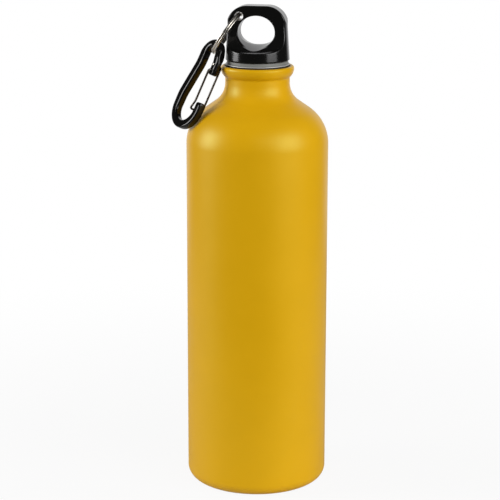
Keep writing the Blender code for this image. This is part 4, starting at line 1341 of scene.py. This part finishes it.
def build_camera(context):
    """The camera at the photograph's angle."""
    stage = context.scene.bottle_stage
    data = bpy.data.cameras.new("camera")
    data.lens = stage.focal_length
    data.sensor_width = SENSOR_WIDTH
    data.shift_x = stage.camera_shift
    made = bpy.data.objects.new("camera", data)
    made.location = (0, -stage.camera_distance, stage.camera_height)
    tilt = Matrix.Rotation(math.pi / 2 - stage.camera_tilt, 4, "X")
    made.rotation_euler = (tilt @ Matrix.Rotation(stage.camera_roll, 4, "Z")).to_euler()
    context.scene.collection.objects.link(made)
    context.scene.camera = made


class MakeShell(bpy.types.Operator):
    """Make the painted shell"""

    bl_idname = "bottle.make_shell"
    bl_label = "Shell"

    def execute(self, context):
        build_shell(context)
        return {"FINISHED"}


class MakeNeck(bpy.types.Operator):
    """Make the threaded ring in the neck, and the seal"""

    bl_idname = "bottle.make_neck"
    bl_label = "Neck Ring and Seal"

    def execute(self, context):
        build_neck_ring(context)
        build_seal(context)
        return {"FINISHED"}


class MakeCap(bpy.types.Operator):
    """Make the cap and its threaded plug"""

    bl_idname = "bottle.make_cap"
    bl_label = "Cap and Plug"

    def execute(self, context):
        build_cap(context)
        build_plug(context)
        return {"FINISHED"}


class MakeSplitRing(bpy.types.Operator):
    """Make the split ring"""

    bl_idname = "bottle.make_split_ring"
    bl_label = "Split Ring"

    def execute(self, context):
        build_split_ring(context)
        return {"FINISHED"}


class MakeCarabiner(bpy.types.Operator):
    """Make the carabiner's rod and its wire gate"""

    bl_idname = "bottle.make_carabiner"
    bl_label = "Carabiner"

    def execute(self, context):
        build_carabiner(context)
        build_gate(context)
        return {"FINISHED"}


class MakeStage(bpy.types.Operator):
    """Make the floor, the lights and the camera"""

    bl_idname = "bottle.make_stage"
    bl_label = "Stage"

    def execute(self, context):
        context.scene.view_settings.view_transform = "Standard"
        build_floor(context)
        build_lights(context)
        build_camera(context)
        return {"FINISHED"}


STEPS = ("make_stage", "make_shell", "make_neck", "make_cap", "make_split_ring", "make_carabiner")


class BottlePanel(bpy.types.Panel):
    """Lists the steps that build the bottle"""

    bl_idname = "VIEW3D_PT_bottle"
    bl_label = "Sports Bottle"
    bl_space_type = "VIEW_3D"
    bl_region_type = "UI"
    bl_category = "Bottle"

    def draw(self, context):
        for step in STEPS:
            self.layout.operator("bottle." + step)


SETTINGS = {
    "bottle_shell_sizes": ShellSizes,
    "bottle_neck_sizes": NeckSizes,
    "bottle_cap_sizes": CapSizes,
    "bottle_ring_sizes": RingSizes,
    "bottle_carabiner_sizes": CarabinerSizes,
    "bottle_finishes": Finishes,
    "bottle_stage": StageSettings,
}
OPERATORS = (MakeShell, MakeNeck, MakeCap, MakeSplitRing, MakeCarabiner, MakeStage)


def register():
    for name, settings in SETTINGS.items():
        bpy.utils.register_class(settings)
        setattr(bpy.types.Scene, name, PointerProperty(type=settings))
    for operator in OPERATORS:
        bpy.utils.register_class(operator)
    bpy.utils.register_class(BottlePanel)


def unregister():
    bpy.utils.unregister_class(BottlePanel)
    for operator in reversed(OPERATORS):
        bpy.utils.unregister_class(operator)
    for name, settings in reversed(SETTINGS.items()):
        delattr(bpy.types.Scene, name)
        bpy.utils.unregister_class(settings)


def main():
    register()
    for step in STEPS:
        getattr(bpy.ops.bottle, step)()


if __name__ == "__main__":
    main()
